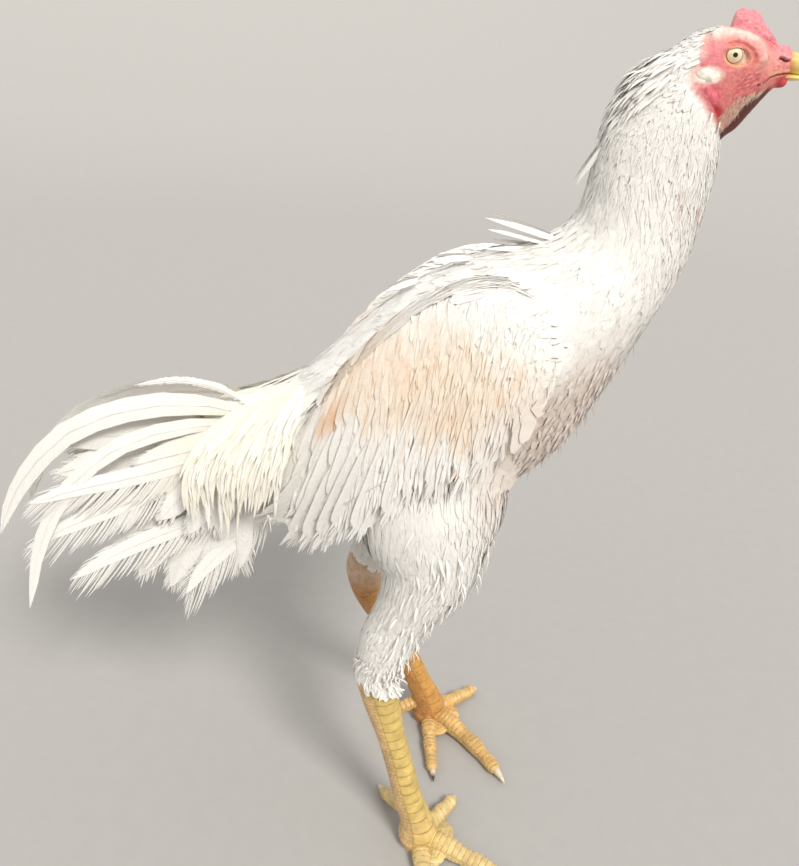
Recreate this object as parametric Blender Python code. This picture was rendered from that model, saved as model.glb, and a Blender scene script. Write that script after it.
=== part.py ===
"""A life-size white aseel cock standing upright, as closed solids in metres.

The bird looks along +X, its left side is +Y and z is the height above the floor.
Every part is placed in that frame and the whole is then centred over the origin.
"""
import math
import random

import bmesh
import bpy
import numpy as np
from mathutils import Vector

# Driving sizes
GAP = 0.0003
SIDES = 24
LEG_SIDES = 12
WING_SIDES = 16
TOE_SIDES = 8
FINE_STEPS = 12
FLOOR_DEPTH = 0.05
UP = Vector((0, 0, 1))
LEFT = Vector((0, 1, 0))

# Body sections from the beak to the tail root. Each row holds the upper point
# (x, z), the lower point (x, z), the half width and how far the wide part leans up.
HEAD_ROWS = [
    (0.2405, 0.6525, 0.2400, 0.6345, 0.0080, 0.00),
    (0.2320, 0.6565, 0.2325, 0.6275, 0.0118, 0.10),
    (0.2200, 0.6605, 0.2270, 0.6195, 0.0148, 0.20),
    (0.2060, 0.6645, 0.2210, 0.6100, 0.0182, 0.25),
    (0.1900, 0.6655, 0.2150, 0.6010, 0.0205, 0.22),
    (0.1755, 0.6600, 0.2090, 0.5945, 0.0222, 0.15),
]
NECK_ROWS = [
    (0.1630, 0.6500, 0.2065, 0.5870, 0.0240, 0.08),
    (0.1430, 0.6270, 0.2085, 0.5730, 0.0280, 0.00),
    (0.1280, 0.6000, 0.2075, 0.5530, 0.0320, 0.00),
    (0.1225, 0.5720, 0.2050, 0.5290, 0.0360, 0.00),
    (0.1205, 0.5460, 0.2000, 0.5040, 0.0410, 0.00),
    (0.1130, 0.5240, 0.1905, 0.4790, 0.0490, 0.00),
]
TORSO_ROWS = [
    (0.0930, 0.5110, 0.1770, 0.4530, 0.0610, 0.00),
    (0.0640, 0.5010, 0.1630, 0.4240, 0.0720, 0.00),
    (0.0330, 0.4880, 0.1480, 0.3900, 0.0790, 0.00),
    (0.0020, 0.4680, 0.1290, 0.3560, 0.0810, 0.00),
    (-0.0280, 0.4400, 0.0990, 0.3270, 0.0790, 0.00),
    (-0.0540, 0.4130, 0.0580, 0.3120, 0.0730, 0.00),
    (-0.0760, 0.3900, 0.0120, 0.3050, 0.0640, 0.00),
    (-0.0930, 0.3770, -0.0340, 0.3080, 0.0510, 0.00),
]
TAIL_ROWS = [
    (-0.1080, 0.3720, -0.0770, 0.3130, 0.0360, 0.00),
    (-0.1220, 0.3700, -0.0910, 0.3100, 0.0290, 0.00),
    (-0.1370, 0.3640, -0.1070, 0.3130, 0.0210, 0.00),
    (-0.1520, 0.3560, -0.1240, 0.3220, 0.0110, 0.00),
]
RINGS_PER_ROW = 2

# Folded wing: upper point (x, y, z), lower point (x, y, z) and half thickness,
# with y counted outwards from the middle of the body.
WING_ROWS = [
    (0.1060, 0.0620, 0.4640, 0.1040, 0.0740, 0.4370, 0.006),
    (0.0950, 0.0550, 0.4830, 0.0970, 0.0812, 0.4190, 0.014),
    (0.0700, 0.0450, 0.4940, 0.0790, 0.0845, 0.3920, 0.019),
    (0.0400, 0.0400, 0.4900, 0.0560, 0.0855, 0.3610, 0.021),
    (0.0100, 0.0400, 0.4720, 0.0300, 0.0830, 0.3410, 0.021),
    (-0.0180, 0.0440, 0.4440, 0.0020, 0.0800, 0.3200, 0.019),
    (-0.0400, 0.0450, 0.4150, -0.0280, 0.0740, 0.2980, 0.016),
    (-0.0620, 0.0440, 0.3800, -0.0560, 0.0660, 0.2820, 0.010),
    (-0.0880, 0.0420, 0.3360, -0.0840, 0.0560, 0.2900, 0.005),
]

# Tiers of laid feathers. Each row holds the first and last place of the roots, the
# step from root to tip, half width, how far the tips stand off, and the number.
# A place is a section number counted from the beak or the shoulder, with a share of
# the way down the wing or a turn in degrees from the spine of the body.
CORE_DEPTH = 0.0035
WING_ROOM = 0.0030
ROOT_DEPTH = 0.003
SPINE_STAND_OFF = 2.0
WING_TIERS = [
    ((4.8, 0.60), (4.2, 0.86), (3.1, 0.06), 0.0100, 0.0, 4),
    ((0.3, 0.52), (4.7, 0.54), (1.7, 0.42), 0.0105, 0.0, 7),
    ((0.1, 0.30), (4.7, 0.30), (1.5, 0.43), 0.0105, 0.0010, 6),
    ((0.1, 0.06), (4.5, 0.06), (1.3, 0.44), 0.0105, 0.0020, 5),
]
HACKLE_TIERS = [
    (6.20, 2.0, 0.0062, 0.0030, 115, 6),
    (7.40, 2.0, 0.0068, 0.0040, 115, 6),
    (8.60, 2.0, 0.0072, 0.0045, 110, 7),
    (9.60, 1.75, 0.0080, 0.0040, 105, 7),
]
# Feathers that stand off the neck's root: side, rise and reach of the tip.
LOOSE_ROOT = (0.118, 0.508)
LOOSE_BEND = (0.098, 0.519)
LOOSE_FEATHERS = [(-0.010, 0.008, 0.052), (-0.022, 0.002, 0.040), (0.006, 0.004, 0.046)]
CAPE_TIERS = [
    (12.25, 1.7, 0.0080, 0.0022, 18, 3),
    (13.70, 1.8, 0.0085, 0.0022, 19, 3),
    (15.20, 1.9, 0.0080, 0.0022, 19, 3),
    (16.70, 1.8, 0.0075, 0.0026, 22, 3),
    (18.00, 1.7, 0.0070, 0.0030, 30, 4),
]

# Tail feathers of one side, from the top down: the angle below the horizontal, the
# length and how far the tip stands out from the middle.
TAIL_ROOT = Vector((-0.118, 0.010, 0.345))
RECTRICES = [
    (10, 0.165, 0.014), (23, 0.158, 0.019), (36, 0.150, 0.024), (49, 0.148, 0.029),
    (62, 0.146, 0.034), (76, 0.142, 0.038), (92, 0.118, 0.040),
]
TAIL_COVERTS = [(12, 0.092, 0.028), (38, 0.098, 0.036), (64, 0.090, 0.044)]
SICKLES = [
    [(-0.115, 0.360), (-0.150, 0.366), (-0.200, 0.355), (-0.250, 0.325), (-0.292, 0.278),
     (-0.311, 0.226)],
    [(-0.118, 0.352), (-0.158, 0.352), (-0.203, 0.335), (-0.240, 0.300), (-0.262, 0.250),
     (-0.267, 0.197)],
]
SICKLE_SPREAD = (0.010, 0.026)
RECTRIX_HALF_WIDTH = 0.0145
COVERT_HALF_WIDTH = 0.0110
COVERT_OUT = 0.012
LOOSE_HALF_WIDTH = 0.0050
VANE_HALF_THICK = 0.0011
RECTRIX_STEP = 0.0012
TAIL_DROOP = 0.06
VANE_SEED = 7

# Legs: centre (x, y, z), half depth fore and aft, half width. The first rows are
# the feathered thigh, then the bare shank, then the ankle inside the foot.
LEG_ROWS = {
    "right": {
        "thigh": [
            (0.034, -0.046, 0.370, 0.052, 0.034),
            (0.034, -0.056, 0.335, 0.056, 0.037),
            (0.034, -0.062, 0.305, 0.051, 0.035),
            (0.037, -0.064, 0.275, 0.038, 0.030),
            (0.030, -0.065, 0.250, 0.028, 0.025),
            (0.021, -0.064, 0.226, 0.022, 0.021),
            (0.013, -0.062, 0.202, 0.0215, 0.0195),
            (0.009, -0.061, 0.184, 0.019, 0.017),
        ],
        "shank": [
            (0.0050, -0.0600, 0.1690, 0.0155, 0.0125),
            (0.0107, -0.0605, 0.1450, 0.0140, 0.0118),
            (0.0210, -0.0620, 0.1120, 0.0108, 0.0100),
            (0.0298, -0.0635, 0.0850, 0.0103, 0.0094),
            (0.0375, -0.0650, 0.0600, 0.0104, 0.0096),
            (0.0447, -0.0665, 0.0390, 0.0110, 0.0106),
        ],
        "ankle": [
            (0.0500, -0.0675, 0.0260, 0.0120, 0.0125),
            (0.0530, -0.0680, 0.0140, 0.0148, 0.0145),
            (0.0540, -0.0680, -0.0010, 0.0135, 0.0135),
        ],
    },
    "left": {
        "thigh": [
            (0.032, 0.046, 0.370, 0.052, 0.034),
            (0.030, 0.056, 0.335, 0.055, 0.037),
            (0.028, 0.062, 0.305, 0.049, 0.035),
            (0.027, 0.063, 0.275, 0.037, 0.030),
            (0.018, 0.0635, 0.250, 0.028, 0.025),
            (0.007, 0.0635, 0.226, 0.022, 0.021),
            (-0.003, 0.063, 0.204, 0.021, 0.019),
            (-0.009, 0.063, 0.188, 0.019, 0.0165),
        ],
        "shank": [
            (-0.0135, 0.0630, 0.1730, 0.0150, 0.0122),
            (-0.0055, 0.0635, 0.1490, 0.0140, 0.0118),
            (0.0140, 0.0650, 0.1150, 0.0112, 0.0102),
            (0.0295, 0.0665, 0.0860, 0.0108, 0.0098),
            (0.0420, 0.0675, 0.0610, 0.0108, 0.0100),
            (0.0525, 0.0685, 0.0390, 0.0112, 0.0108),
        ],
        "ankle": [
            (0.0590, 0.0695, 0.0260, 0.0122, 0.0125),
            (0.0625, 0.0700, 0.0140, 0.0148, 0.0145),
            (0.0635, 0.0700, -0.0010, 0.0135, 0.0135),
        ],
    },
}

# Toes: heading in degrees from +X, bend along the toe, length to the claw, half
# height and half width at the root, claw length. The hind toe starts higher, on the
# back of the ankle.
TOES = {
    "right": {
        "inner": (51, 10, 0.048, 0.0082, 0.0082, 0.009),
        "middle": (-25, -6, 0.085, 0.0092, 0.0092, 0.016),
        "outer": (-84, -8, 0.066, 0.0083, 0.0083, 0.013),
        "hind": (127, -6, 0.051, 0.0074, 0.0074, 0.011),
    },
    "left": {
        "inner": (-87, 6, 0.068, 0.0080, 0.0080, 0.013),
        "middle": (-45, -24, 0.089, 0.0094, 0.0094, 0.016),
        "outer": (37, 6, 0.057, 0.0083, 0.0083, 0.009),
        "hind": (-165, 6, 0.049, 0.0074, 0.0070, 0.010),
    },
}
TOE_SINK = 0.0006
TOE_TAPER = 0.62
SCUTE_LIFT = 0.07
SHANK_SCUTES = 9
HIND_TOE_HEIGHT = 0.030

# Head details. Bulbs and hollows are eggs: centre (x, y, z) of the left one, half axes
# and turn about y.
EYE_PLACE = Vector((0.1990, 0.0122, 0.6480))
EYE_RADIUS = 0.0078
LID_RADIUS = 0.0091
EYE_OPENING = ((0.1994, 0.0222, 0.6480), (0.0070, 0.0100, 0.0058), 0.10)
FACE_BULBS = {
    "brow": ((0.2020, 0.0157, 0.6565), (0.0105, 0.0038, 0.0032), 0.12),
    "ear_lobe": ((0.1855, 0.0195, 0.6340), (0.0105, 0.0048, 0.0068), 0.15),
    "red_lobe": ((0.1865, 0.0185, 0.6220), (0.0095, 0.0042, 0.0085), 0.50),
    "nostril_pad": ((0.2350, 0.0062, 0.6465), (0.0062, 0.0042, 0.0048), 0.10),
    "cheek_fold": ((0.2265, 0.0096, 0.6275), (0.0070, 0.0030, 0.0034), 0.45),
}
FACE_HOLLOWS = {
    "nostril": ((0.2365, 0.0108, 0.6472), (0.0034, 0.0030, 0.0009), 0.25),
    "ear": ((0.1800, 0.0232, 0.6440), (0.0024, 0.0034, 0.0028), 0.00),
}
CHIN_BULB = ((0.2365, 0, 0.6305), (0.0050, 0.0062, 0.0040))

# Line of the mouth: place (x, z) and half height, and its reach inwards and outwards.
BEAK_BASE_X = 0.2408
MOUTH_LINE = [(0.2215, 0.6325, 0.0002), (0.2300, 0.6382, 0.0004), (0.2448, 0.6386, 0.0004)]
MOUTH_REACH = (0.006, 0.030)

# Comb: distance from the middle and half thickness of a row, then (x, z, half size).
COMB_ROWS = [
    (0.0, 0.0040, [(0.2055, 0.6695, 0.0075), (0.2120, 0.6680, 0.0070),
                   (0.2185, 0.6650, 0.0060), (0.2245, 0.6612, 0.0050),
                   (0.2300, 0.6570, 0.0042), (0.2370, 0.6535, 0.0046)]),
    (0.0050, 0.0036, [(0.2080, 0.6640, 0.0050), (0.2160, 0.6620, 0.0050),
                      (0.2240, 0.6584, 0.0048), (0.2325, 0.6536, 0.0048)]),
]

# Beak rows: x, upper z, lower z, half width. The point of each half comes last.
BEAKS = {
    "beak_upper": ([
        (BEAK_BASE_X, 0.6518, 0.6392, 0.0076),
        (0.2475, 0.6508, 0.6388, 0.0066),
        (0.2540, 0.6482, 0.6384, 0.0052),
        (0.2590, 0.6440, 0.6374, 0.0036),
    ], (0.2620, 0, 0.6358)),
    "beak_lower": ([
        (BEAK_BASE_X, 0.6380, 0.6318, 0.0066),
        (0.2475, 0.6380, 0.6324, 0.0056),
        (0.2530, 0.6378, 0.6336, 0.0042),
    ], (0.2575, 0, 0.6366)),
}
BEAK_SIDES = 16
COMB_FRONT_ROOM = 0.002

MATERIALS = {
    "feathers_white": ((0.86, 0.83, 0.76), 0.75),
    "skin_red": ((0.75, 0.20, 0.18), 0.50),
    "comb_pink": ((0.80, 0.28, 0.27), 0.50),
    "beak_horn": ((0.85, 0.72, 0.32), 0.35),
    "eye_pearl": ((0.85, 0.75, 0.48), 0.10),
    "scales_yellow": ((0.78, 0.58, 0.22), 0.50),
    "claw_horn": ((0.80, 0.72, 0.58), 0.40),
}


def clear_scene():
    for item in list(bpy.data.objects):
        bpy.data.objects.remove(item, do_unlink=True)


def make_material(name):
    colour, roughness = MATERIALS[name]
    material = bpy.data.materials.new(name)
    material.use_nodes = True
    shader = material.node_tree.nodes["Principled BSDF"]
    shader.inputs["Base Color"].default_value = (*colour, 1)
    shader.inputs["Roughness"].default_value = roughness
    shader.inputs["Metallic"].default_value = 0
    return material


def smooth_rows(rows, per_row):
    """Rows read at even steps along a smooth curve through the given ones."""
    rows = np.array(rows, float)
    ends = [2 * rows[0] - rows[1]], [2 * rows[-1] - rows[-2]]
    padded = np.vstack([ends[0], rows, ends[1]])
    where = np.linspace(0, len(rows) - 1, (len(rows) - 1) * per_row + 1)
    start = np.minimum(where.astype(int), len(rows) - 2)
    f = (where - start)[:, None]
    a, b, c, d = (padded[start + k] for k in range(4))
    curve = 2 * b + (c - a) * f + (2 * a - 5 * b + 4 * c - d) * f ** 2
    return 0.5 * (curve + (3 * b - a - 3 * c + d) * f ** 3)


def ring(centre, up, side, lean=0.0, sides=SIDES):
    """A closed loop of points round an oval spanned by two half axes."""
    turns = [2 * math.pi * k / sides for k in range(sides)]
    return [
        centre + up * math.cos(t) + side * (math.sin(t) * (1 + lean * math.cos(t)))
        for t in turns
    ]


def body_ring(row, grow=0.0):
    top = Vector((row[0], 0, row[1]))
    low = Vector((row[2], 0, row[3]))
    up = (top - low) / 2
    up_grown = up.normalized() * (up.length + grow)
    return ring((top + low) / 2, up_grown, LEFT * (row[4] + grow), row[5])


def wing_ring(row, sign, grow=0.0):
    top = Vector((row[0], sign * row[1], row[2]))
    low = Vector((row[3], sign * row[4], row[5]))
    up = (top - low) / 2
    out = LEFT * sign
    out = (out - up.normalized() * out.dot(up.normalized())).normalized()
    up_grown = up.normalized() * (up.length + grow)
    return ring((top + low) / 2, up_grown, out * (row[6] + grow), sides=WING_SIDES)


def path_frames(rows):
    """Centre, fore and side directions square to the path through the rows."""
    centres = [Vector(row[:3]) for row in rows]
    frames = []
    for k, centre in enumerate(centres):
        ahead = centres[min(k + 1, len(rows) - 1)] - centres[max(k - 1, 0)]
        ahead.normalize()
        fore = Vector((1, 0, 0)) - ahead * ahead.x
        fore.normalize()
        frames.append((centre, fore, ahead.cross(fore)))
    return frames


def moved_ring(points, neighbour, distance):
    """A flat ring shifted square to its plane, towards a neighbouring ring."""
    middle = sum(points, Vector()) / len(points)
    quarter = len(points) // 4
    normal = (points[0] - middle).cross(points[quarter] - middle).normalized()
    towards = sum(neighbour, Vector()) / len(neighbour) - middle
    if normal.dot(towards) < 0:
        normal = -normal
    return [point + normal * distance for point in points]


def face_out(bm):
    bmesh.ops.recalc_face_normals(bm, faces=bm.faces)
    return bm


def new_object(name, bm, material=None):
    mesh = bpy.data.meshes.new(name)
    face_out(bm).to_mesh(mesh)
    bm.free()
    item = bpy.data.objects.new(name, mesh)
    bpy.context.scene.collection.objects.link(item)
    if material:
        mesh.materials.append(material)
    return item


def loft(name, rings, tip=None):
    """One closed body through a list of rings, with flat ends or a pointed tip."""
    bm = bmesh.new()
    loops = [[bm.verts.new(point) for point in points] for points in rings]
    count = len(loops[0])
    for near, far in zip(loops, loops[1:]):
        for k in range(count):
            n = (k + 1) % count
            bm.faces.new((near[k], near[n], far[n]))
            bm.faces.new((near[k], far[n], far[k]))
    bm.faces.new(loops[0])
    if tip is None:
        bm.faces.new(loops[-1])
    else:
        point = bm.verts.new(tip)
        for k in range(count):
            bm.faces.new((loops[-1][k], loops[-1][(k + 1) % count], point))
    return new_object(name, bm)


def bulb(centre, half, turn=0.0, rings=5, sides=8):
    """A closed egg with half axes along x, y and z, turned about y."""
    bm = bmesh.new()
    bmesh.ops.create_uvsphere(bm, u_segments=sides, v_segments=rings, radius=1)
    c, s = math.cos(turn), math.sin(turn)
    for vert in bm.verts:
        x, y, z = vert.co.x * half[0], vert.co.y * half[1], vert.co.z * half[2]
        vert.co = Vector((x * c + z * s, y, -x * s + z * c)) + Vector(centre)
    return new_object("bulb", bm)


def slab(low, high):
    bm = bmesh.new()
    bmesh.ops.create_cube(bm, size=1)
    low, high = Vector(low), Vector(high)
    size = high - low
    for vert in bm.verts:
        vert.co = Vector([vert.co[k] * size[k] for k in range(3)]) + (low + high) / 2
    return new_object("slab", bm)


def keep_largest(item):
    """Drop loose scraps and sealed hollows, and leave one closed surface."""
    bm = bmesh.new()
    bm.from_mesh(item.data)
    left = set(bm.faces)
    best, best_size = [], -1.0
    while left:
        stack = [left.pop()]
        found = list(stack)
        while stack:
            for edge in stack.pop().edges:
                for face in edge.link_faces:
                    if face in left:
                        left.discard(face)
                        stack.append(face)
                        found.append(face)
        size = abs(sum(volume_under(face) for face in found))
        if size > best_size:
            best, best_size = found, size
    keep = set(best)
    spare = [face for face in bm.faces if face not in keep]
    bmesh.ops.delete(bm, geom=spare, context="FACES")
    bmesh.ops.delete(bm, geom=[v for v in bm.verts if not v.link_faces], context="VERTS")
    bm.to_mesh(item.data)
    bm.free()


def volume_under(face):
    points = [vert.co for vert in face.verts]
    total = 0.0
    for b, c in zip(points[1:], points[2:]):
        total += points[0].dot(b.cross(c)) / 6
    return total


def combine(item, operation, pieces, solver="EXACT"):
    """Fuse a collection of closed pieces into an item, or cut them out of it."""
    group = bpy.data.collections.new(item.name + "_pieces")
    for piece in pieces:
        group.objects.link(piece)
        piece.hide_render = True
        piece.display_type = "WIRE"
    change = item.modifiers.new(operation.lower(), "BOOLEAN")
    change.operation = operation
    change.operand_type = "COLLECTION"
    change.collection = group
    change.solver = solver
    bpy.context.view_layer.update()
    shape = item.evaluated_get(bpy.context.evaluated_depsgraph_get())
    mesh = bpy.data.meshes.new_from_object(shape)
    item.modifiers.clear()
    item.data = mesh
    for piece in pieces:
        bpy.data.objects.remove(piece, do_unlink=True)
    bpy.data.collections.remove(group)
    keep_largest(item)


def row_at(rows, place):
    """One row read at a place along the smooth curve through the rows."""
    k = min(max(int(math.floor(place)), 0), len(rows) - 2)
    f = place - k
    near, far = np.array(rows[k]), np.array(rows[k + 1])
    before = np.array(rows[k - 1]) if k else 2 * near - far
    after = np.array(rows[k + 2]) if k + 2 < len(rows) else 2 * far - near
    curve = 2 * near + (far - before) * f + (2 * before - 5 * near + 4 * far - after) * f ** 2
    return 0.5 * (curve + (3 * near - before - 3 * far + after) * f ** 3)


def body_point(place, turn, lift):
    """A point on the body at a section and a turn in degrees from the spine."""
    row = row_at(HEAD_ROWS + NECK_ROWS + TORSO_ROWS + TAIL_ROWS, place)
    top, low = Vector((row[0], 0, row[1])), Vector((row[2], 0, row[3]))
    up = (top - low) / 2
    t = math.radians(turn)
    rise = up.normalized() * ((up.length + lift) * math.cos(t))
    return (top + low) / 2 + rise + LEFT * ((row[4] + lift) * math.sin(t))


def wing_point(sign, place, share, lift):
    """A point on the outer face of the wing, from its upper to its lower edge."""
    row = row_at(WING_ROWS, place)
    top = Vector((row[0], sign * row[1], row[2]))
    low = Vector((row[3], sign * row[4], row[5]))
    up = (top - low) / 2
    out = LEFT * sign
    out = (out - up.normalized() * out.dot(up.normalized())).normalized()
    turn = math.acos(max(-1.0, min(1.0, 1 - 2 * share)))
    rise = up.normalized() * ((up.length + lift) * math.cos(turn))
    return (top + low) / 2 + rise + out * ((row[6] + lift) * math.sin(turn))


def vane(centres, faces, half_width, half_thick, pointed=False):
    """A closed feather blade along a row of centres, triangulated alike on both faces."""
    bm = bmesh.new()
    count = len(centres) - 1
    loops = []
    for k in range(count):
        t = k / count
        along = (centres[k + 1] - centres[max(k - 1, 0)]).normalized()
        face = (faces[k] - along * faces[k].dot(along)).normalized()
        across = face.cross(along)
        if pointed:
            shape = min(1.0, 0.55 + 2.2 * t) * (1 - t) ** 0.55
        else:
            shape = min(1.0, 0.50 + 2.0 * t) * (1 - t ** 3) ** 0.5
        wide = half_width * shape
        thick = half_thick * (1 - 0.6 * t)
        bow = 0.18 * wide
        left = centres[k] - across * wide - face * bow
        right = centres[k] + across * wide - face * bow
        points = (left, centres[k] + face * thick, right, centres[k] - face * thick)
        loops.append([bm.verts.new(point) for point in points])
    for near, far in zip(loops, loops[1:]):
        for side in (0, 2):
            for face_side in (1, 3):
                bm.faces.new((near[side], far[side], far[face_side]))
                bm.faces.new((near[side], far[face_side], near[face_side]))
    tip = bm.verts.new(centres[-1])
    for k in range(4):
        bm.faces.new((loops[-1][k], loops[-1][(k + 1) % 4], tip))
    bm.faces.new((loops[0][0], loops[0][1], loops[0][3]))
    bm.faces.new((loops[0][2], loops[0][1], loops[0][3]))
    return new_object("vane", bm)


def laid_vane(surface, start, step, half_width, stand_off, root_depth, pointed, rings=3):
    """A feather that follows a surface, sunk in at its root and lifted at its tip."""
    centres, faces = [], []
    for k in range(rings + 1):
        t = k / rings
        place, turn = start[0] + step[0] * t, start[1] + step[1] * t
        lift = -root_depth + (root_depth + stand_off) * t ** 0.7
        centres.append(surface(place, turn, lift))
        faces.append((surface(place, turn, 0.004) - surface(place, turn, 0)).normalized())
    return vane(centres, faces, half_width, VANE_HALF_THICK, pointed)


def between(low, high, k, count):
    return low + (high - low) * (k / (count - 1))


def finish(item, name, material, sharp=40):
    item.name = name
    item.data.name = name
    item.data.materials.clear()
    item.data.materials.append(material)
    item.data.shade_smooth()
    item.data.set_sharp_from_angle(angle=math.radians(sharp))
    return item


def body_rings(grow=0.0):
    """Rings of head, neck, torso and tail, and where each of them starts."""
    rows = HEAD_ROWS + NECK_ROWS + TORSO_ROWS + TAIL_ROWS
    rings = [body_ring(row, grow) for row in smooth_rows(rows, RINGS_PER_ROW)]
    starts = np.cumsum([0, len(HEAD_ROWS), len(NECK_ROWS), len(TORSO_ROWS)])
    return rings, [int(start) * RINGS_PER_ROW for start in starts] + [len(rings) - 1]


def stretch(rings, first, last, gap=True):
    """The rings from first to last, the first one set back by the gap."""
    part = list(rings[first:last + 1])
    if gap:
        part[0] = moved_ring(part[0], part[1], GAP)
    return part


def grown_torso():
    rings, starts = body_rings(GAP)
    return loft("torso_room", rings[starts[2] - 1:starts[3] + 2])


def mirrored(egg, sign):
    centre, half, turn = egg
    return bulb((centre[0], sign * centre[1], centre[2]), half, turn)


def make_head(rings, starts, material):
    """The head with brows, lobes, lids, nostrils and the line of the mouth."""
    head = loft("head", rings[:starts[1] + 1])
    pieces = [bulb(*CHIN_BULB)]
    cuts = [slab((BEAK_BASE_X - GAP, -0.05, 0.60), (0.30, 0.05, 0.70))]
    for sign in (1, -1):
        eye = (EYE_PLACE.x, sign * EYE_PLACE.y, EYE_PLACE.z)
        pieces.append(bulb(eye, (LID_RADIUS,) * 3, rings=8, sides=12))
        pieces += [mirrored(egg, sign) for egg in FACE_BULBS.values()]
        cuts.append(bulb(eye, (EYE_RADIUS + 2 * GAP,) * 3, rings=8, sides=12))
        centre, half, turn = EYE_OPENING
        cuts.append(bulb((centre[0], sign * centre[1], centre[2]), half, turn, 8, 12))
        cuts += [mirrored(egg, sign) for egg in FACE_HOLLOWS.values()]
        cuts.append(mouth_groove(sign))
    combine(head, "UNION", pieces)
    grown = body_rings(GAP)[0][starts[1]:starts[1] + 7]
    grown[0] = moved_ring(grown[0], grown[1], GAP / 3)
    cuts.append(loft("neck_room", grown))
    combine(head, "DIFFERENCE", cuts)
    return finish(head, "head", material)


def mouth_groove(sign):
    """A thin wedge that opens the line of the mouth on one side."""
    rings = []
    for x, z, half in MOUTH_LINE:
        inner, outer = (Vector((x, sign * reach, z)) for reach in MOUTH_REACH)
        rings.append([inner - UP * half, outer - UP * half, outer + UP * half, inner + UP * half])
    return loft("mouth", rings)


def make_comb(material):
    """The low comb of round knobs, seated on the crown of the head."""
    pieces = []
    for y, thick, places in COMB_ROWS:
        for sign in ((1,) if y == 0 else (1, -1)):
            for x, z, half in places:
                pieces.append(bulb((x, sign * y, z), (half * 0.95, thick, half), rings=4))
    comb = pieces.pop(0)
    combine(comb, "UNION", pieces)
    rings, starts = body_rings(GAP)
    first = moved_ring(rings[0], rings[1], -COMB_FRONT_ROOM)
    combine(comb, "DIFFERENCE", [loft("head_room", [first] + rings[:starts[1] + 1])])
    return finish(comb, "comb", material, 60)


def make_eye(side, sign, material):
    eye = bulb((EYE_PLACE.x, sign * EYE_PLACE.y, EYE_PLACE.z), (EYE_RADIUS,) * 3,
               rings=8, sides=12)
    return finish(eye, "eye_" + side, material, 60)


def make_beaks(material):
    """Upper beak hooked over the lower one, both starting flat on the face."""
    for name, (rows, tip) in BEAKS.items():
        rings = []
        for x, top, low, half in smooth_rows(rows, 2):
            centre = Vector((x, 0, (top + low) / 2))
            rings.append(ring(centre, UP * (top - low) / 2, LEFT * half, sides=BEAK_SIDES))
        finish(loft(name, rings, Vector(tip)), name, material, 60)


def tier_vanes(tiers, chance):
    """Rows of body feathers on both sides of the spine, in shifted tiers."""
    vanes = []
    for number, (place, step, wide, stand_off, spread, count) in enumerate(tiers):
        shift = (number % 2 - 0.5) * spread / count
        for k in range(count):
            turn = between(-spread, spread, k, count) + shift
            start = (place + chance.uniform(-0.08, 0.08), turn)
            reach = (step * chance.uniform(0.93, 1.0), chance.uniform(-3, 3))
            proud = stand_off * (1 + SPINE_STAND_OFF * max(0.0, math.cos(math.radians(turn))))
            vanes.append(laid_vane(body_point, start, reach, wide, proud, ROOT_DEPTH, True))
    return vanes


def make_neck(rings, starts, material):
    """The neck with its hackle feathers, cut clear of the torso behind it."""
    neck = loft("neck", stretch(rings, starts[1], starts[2]))
    vanes = tier_vanes(HACKLE_TIERS, random.Random(VANE_SEED))
    for y, rise, reach in LOOSE_FEATHERS:
        root = Vector((LOOSE_ROOT[0], y, LOOSE_ROOT[1]))
        bend = Vector((LOOSE_BEND[0], y * 1.3, LOOSE_BEND[1] + rise * 0.5))
        tip = Vector((LOOSE_BEND[0] - reach, y * 1.6, LOOSE_BEND[1] + rise))
        spine = [root, bend, (bend + tip) / 2, tip]
        vanes.append(vane(spine, [UP] * 4, LOOSE_HALF_WIDTH, VANE_HALF_THICK, True))
    combine(neck, "UNION", vanes, "MANIFOLD")
    return finish(neck, "neck", material)


def make_torso(rings, starts, material):
    """The trunk with the cape and saddle feathers along its back."""
    torso = loft("torso", stretch(rings, starts[2], starts[3]))
    combine(torso, "UNION", tier_vanes(CAPE_TIERS, random.Random(VANE_SEED + 1)), "MANIFOLD")
    return finish(torso, "torso", material)


def tail_feather(sign, root, angle, length, out, half_width, rings=3):
    """A straight tail feather that droops a little and turns its flat side outwards."""
    turn = math.radians(angle)
    ahead = Vector((-math.cos(turn), 0, -math.sin(turn)))
    droop = Vector((-math.sin(turn), 0, -math.cos(turn)))
    centres, faces = [], []
    for k in range(rings + 1):
        t = k / rings
        y = root.y + (out - root.y) * math.sin(t * math.pi / 2)
        point = Vector((root.x, 0, root.z)) + ahead * (length * t)
        point += droop * (TAIL_DROOP * length * (t * t - t))
        centres.append(Vector((point.x, sign * y, point.z)))
        faces.append(Vector((0.25 * ahead.x, sign, 0.25)))
    return vane(centres, faces, half_width, VANE_HALF_THICK)


def make_tail(rings, starts, material):
    """The rump with its fan of flight feathers, coverts and long sickles."""
    tail = loft("tail", stretch(rings, starts[3], starts[4]))
    vanes = []
    for sign in (1, -1):
        for number, (angle, length, out) in enumerate(RECTRICES):
            root = TAIL_ROOT + LEFT * (RECTRIX_STEP * number)
            vanes.append(tail_feather(sign, root, angle, length, out, RECTRIX_HALF_WIDTH))
        for angle, length, out in TAIL_COVERTS:
            root = TAIL_ROOT + LEFT * COVERT_OUT
            vanes.append(tail_feather(sign, root, angle, length, out, COVERT_HALF_WIDTH))
        for spots, spread in zip(SICKLES, (0.55, 1.0)):
            count = len(spots) - 1
            low, high = SICKLE_SPREAD
            reach = [low + (high - low) * spread * k / count for k in range(count + 1)]
            centres = [Vector((x, sign * y, z)) for (x, z), y in zip(spots, reach)]
            faces = [Vector((0, sign, 0.3))] * len(centres)
            vanes.append(vane(centres, faces, COVERT_HALF_WIDTH, VANE_HALF_THICK))
    combine(tail, "UNION", vanes, "MANIFOLD")
    return finish(tail, "tail", material)


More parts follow.
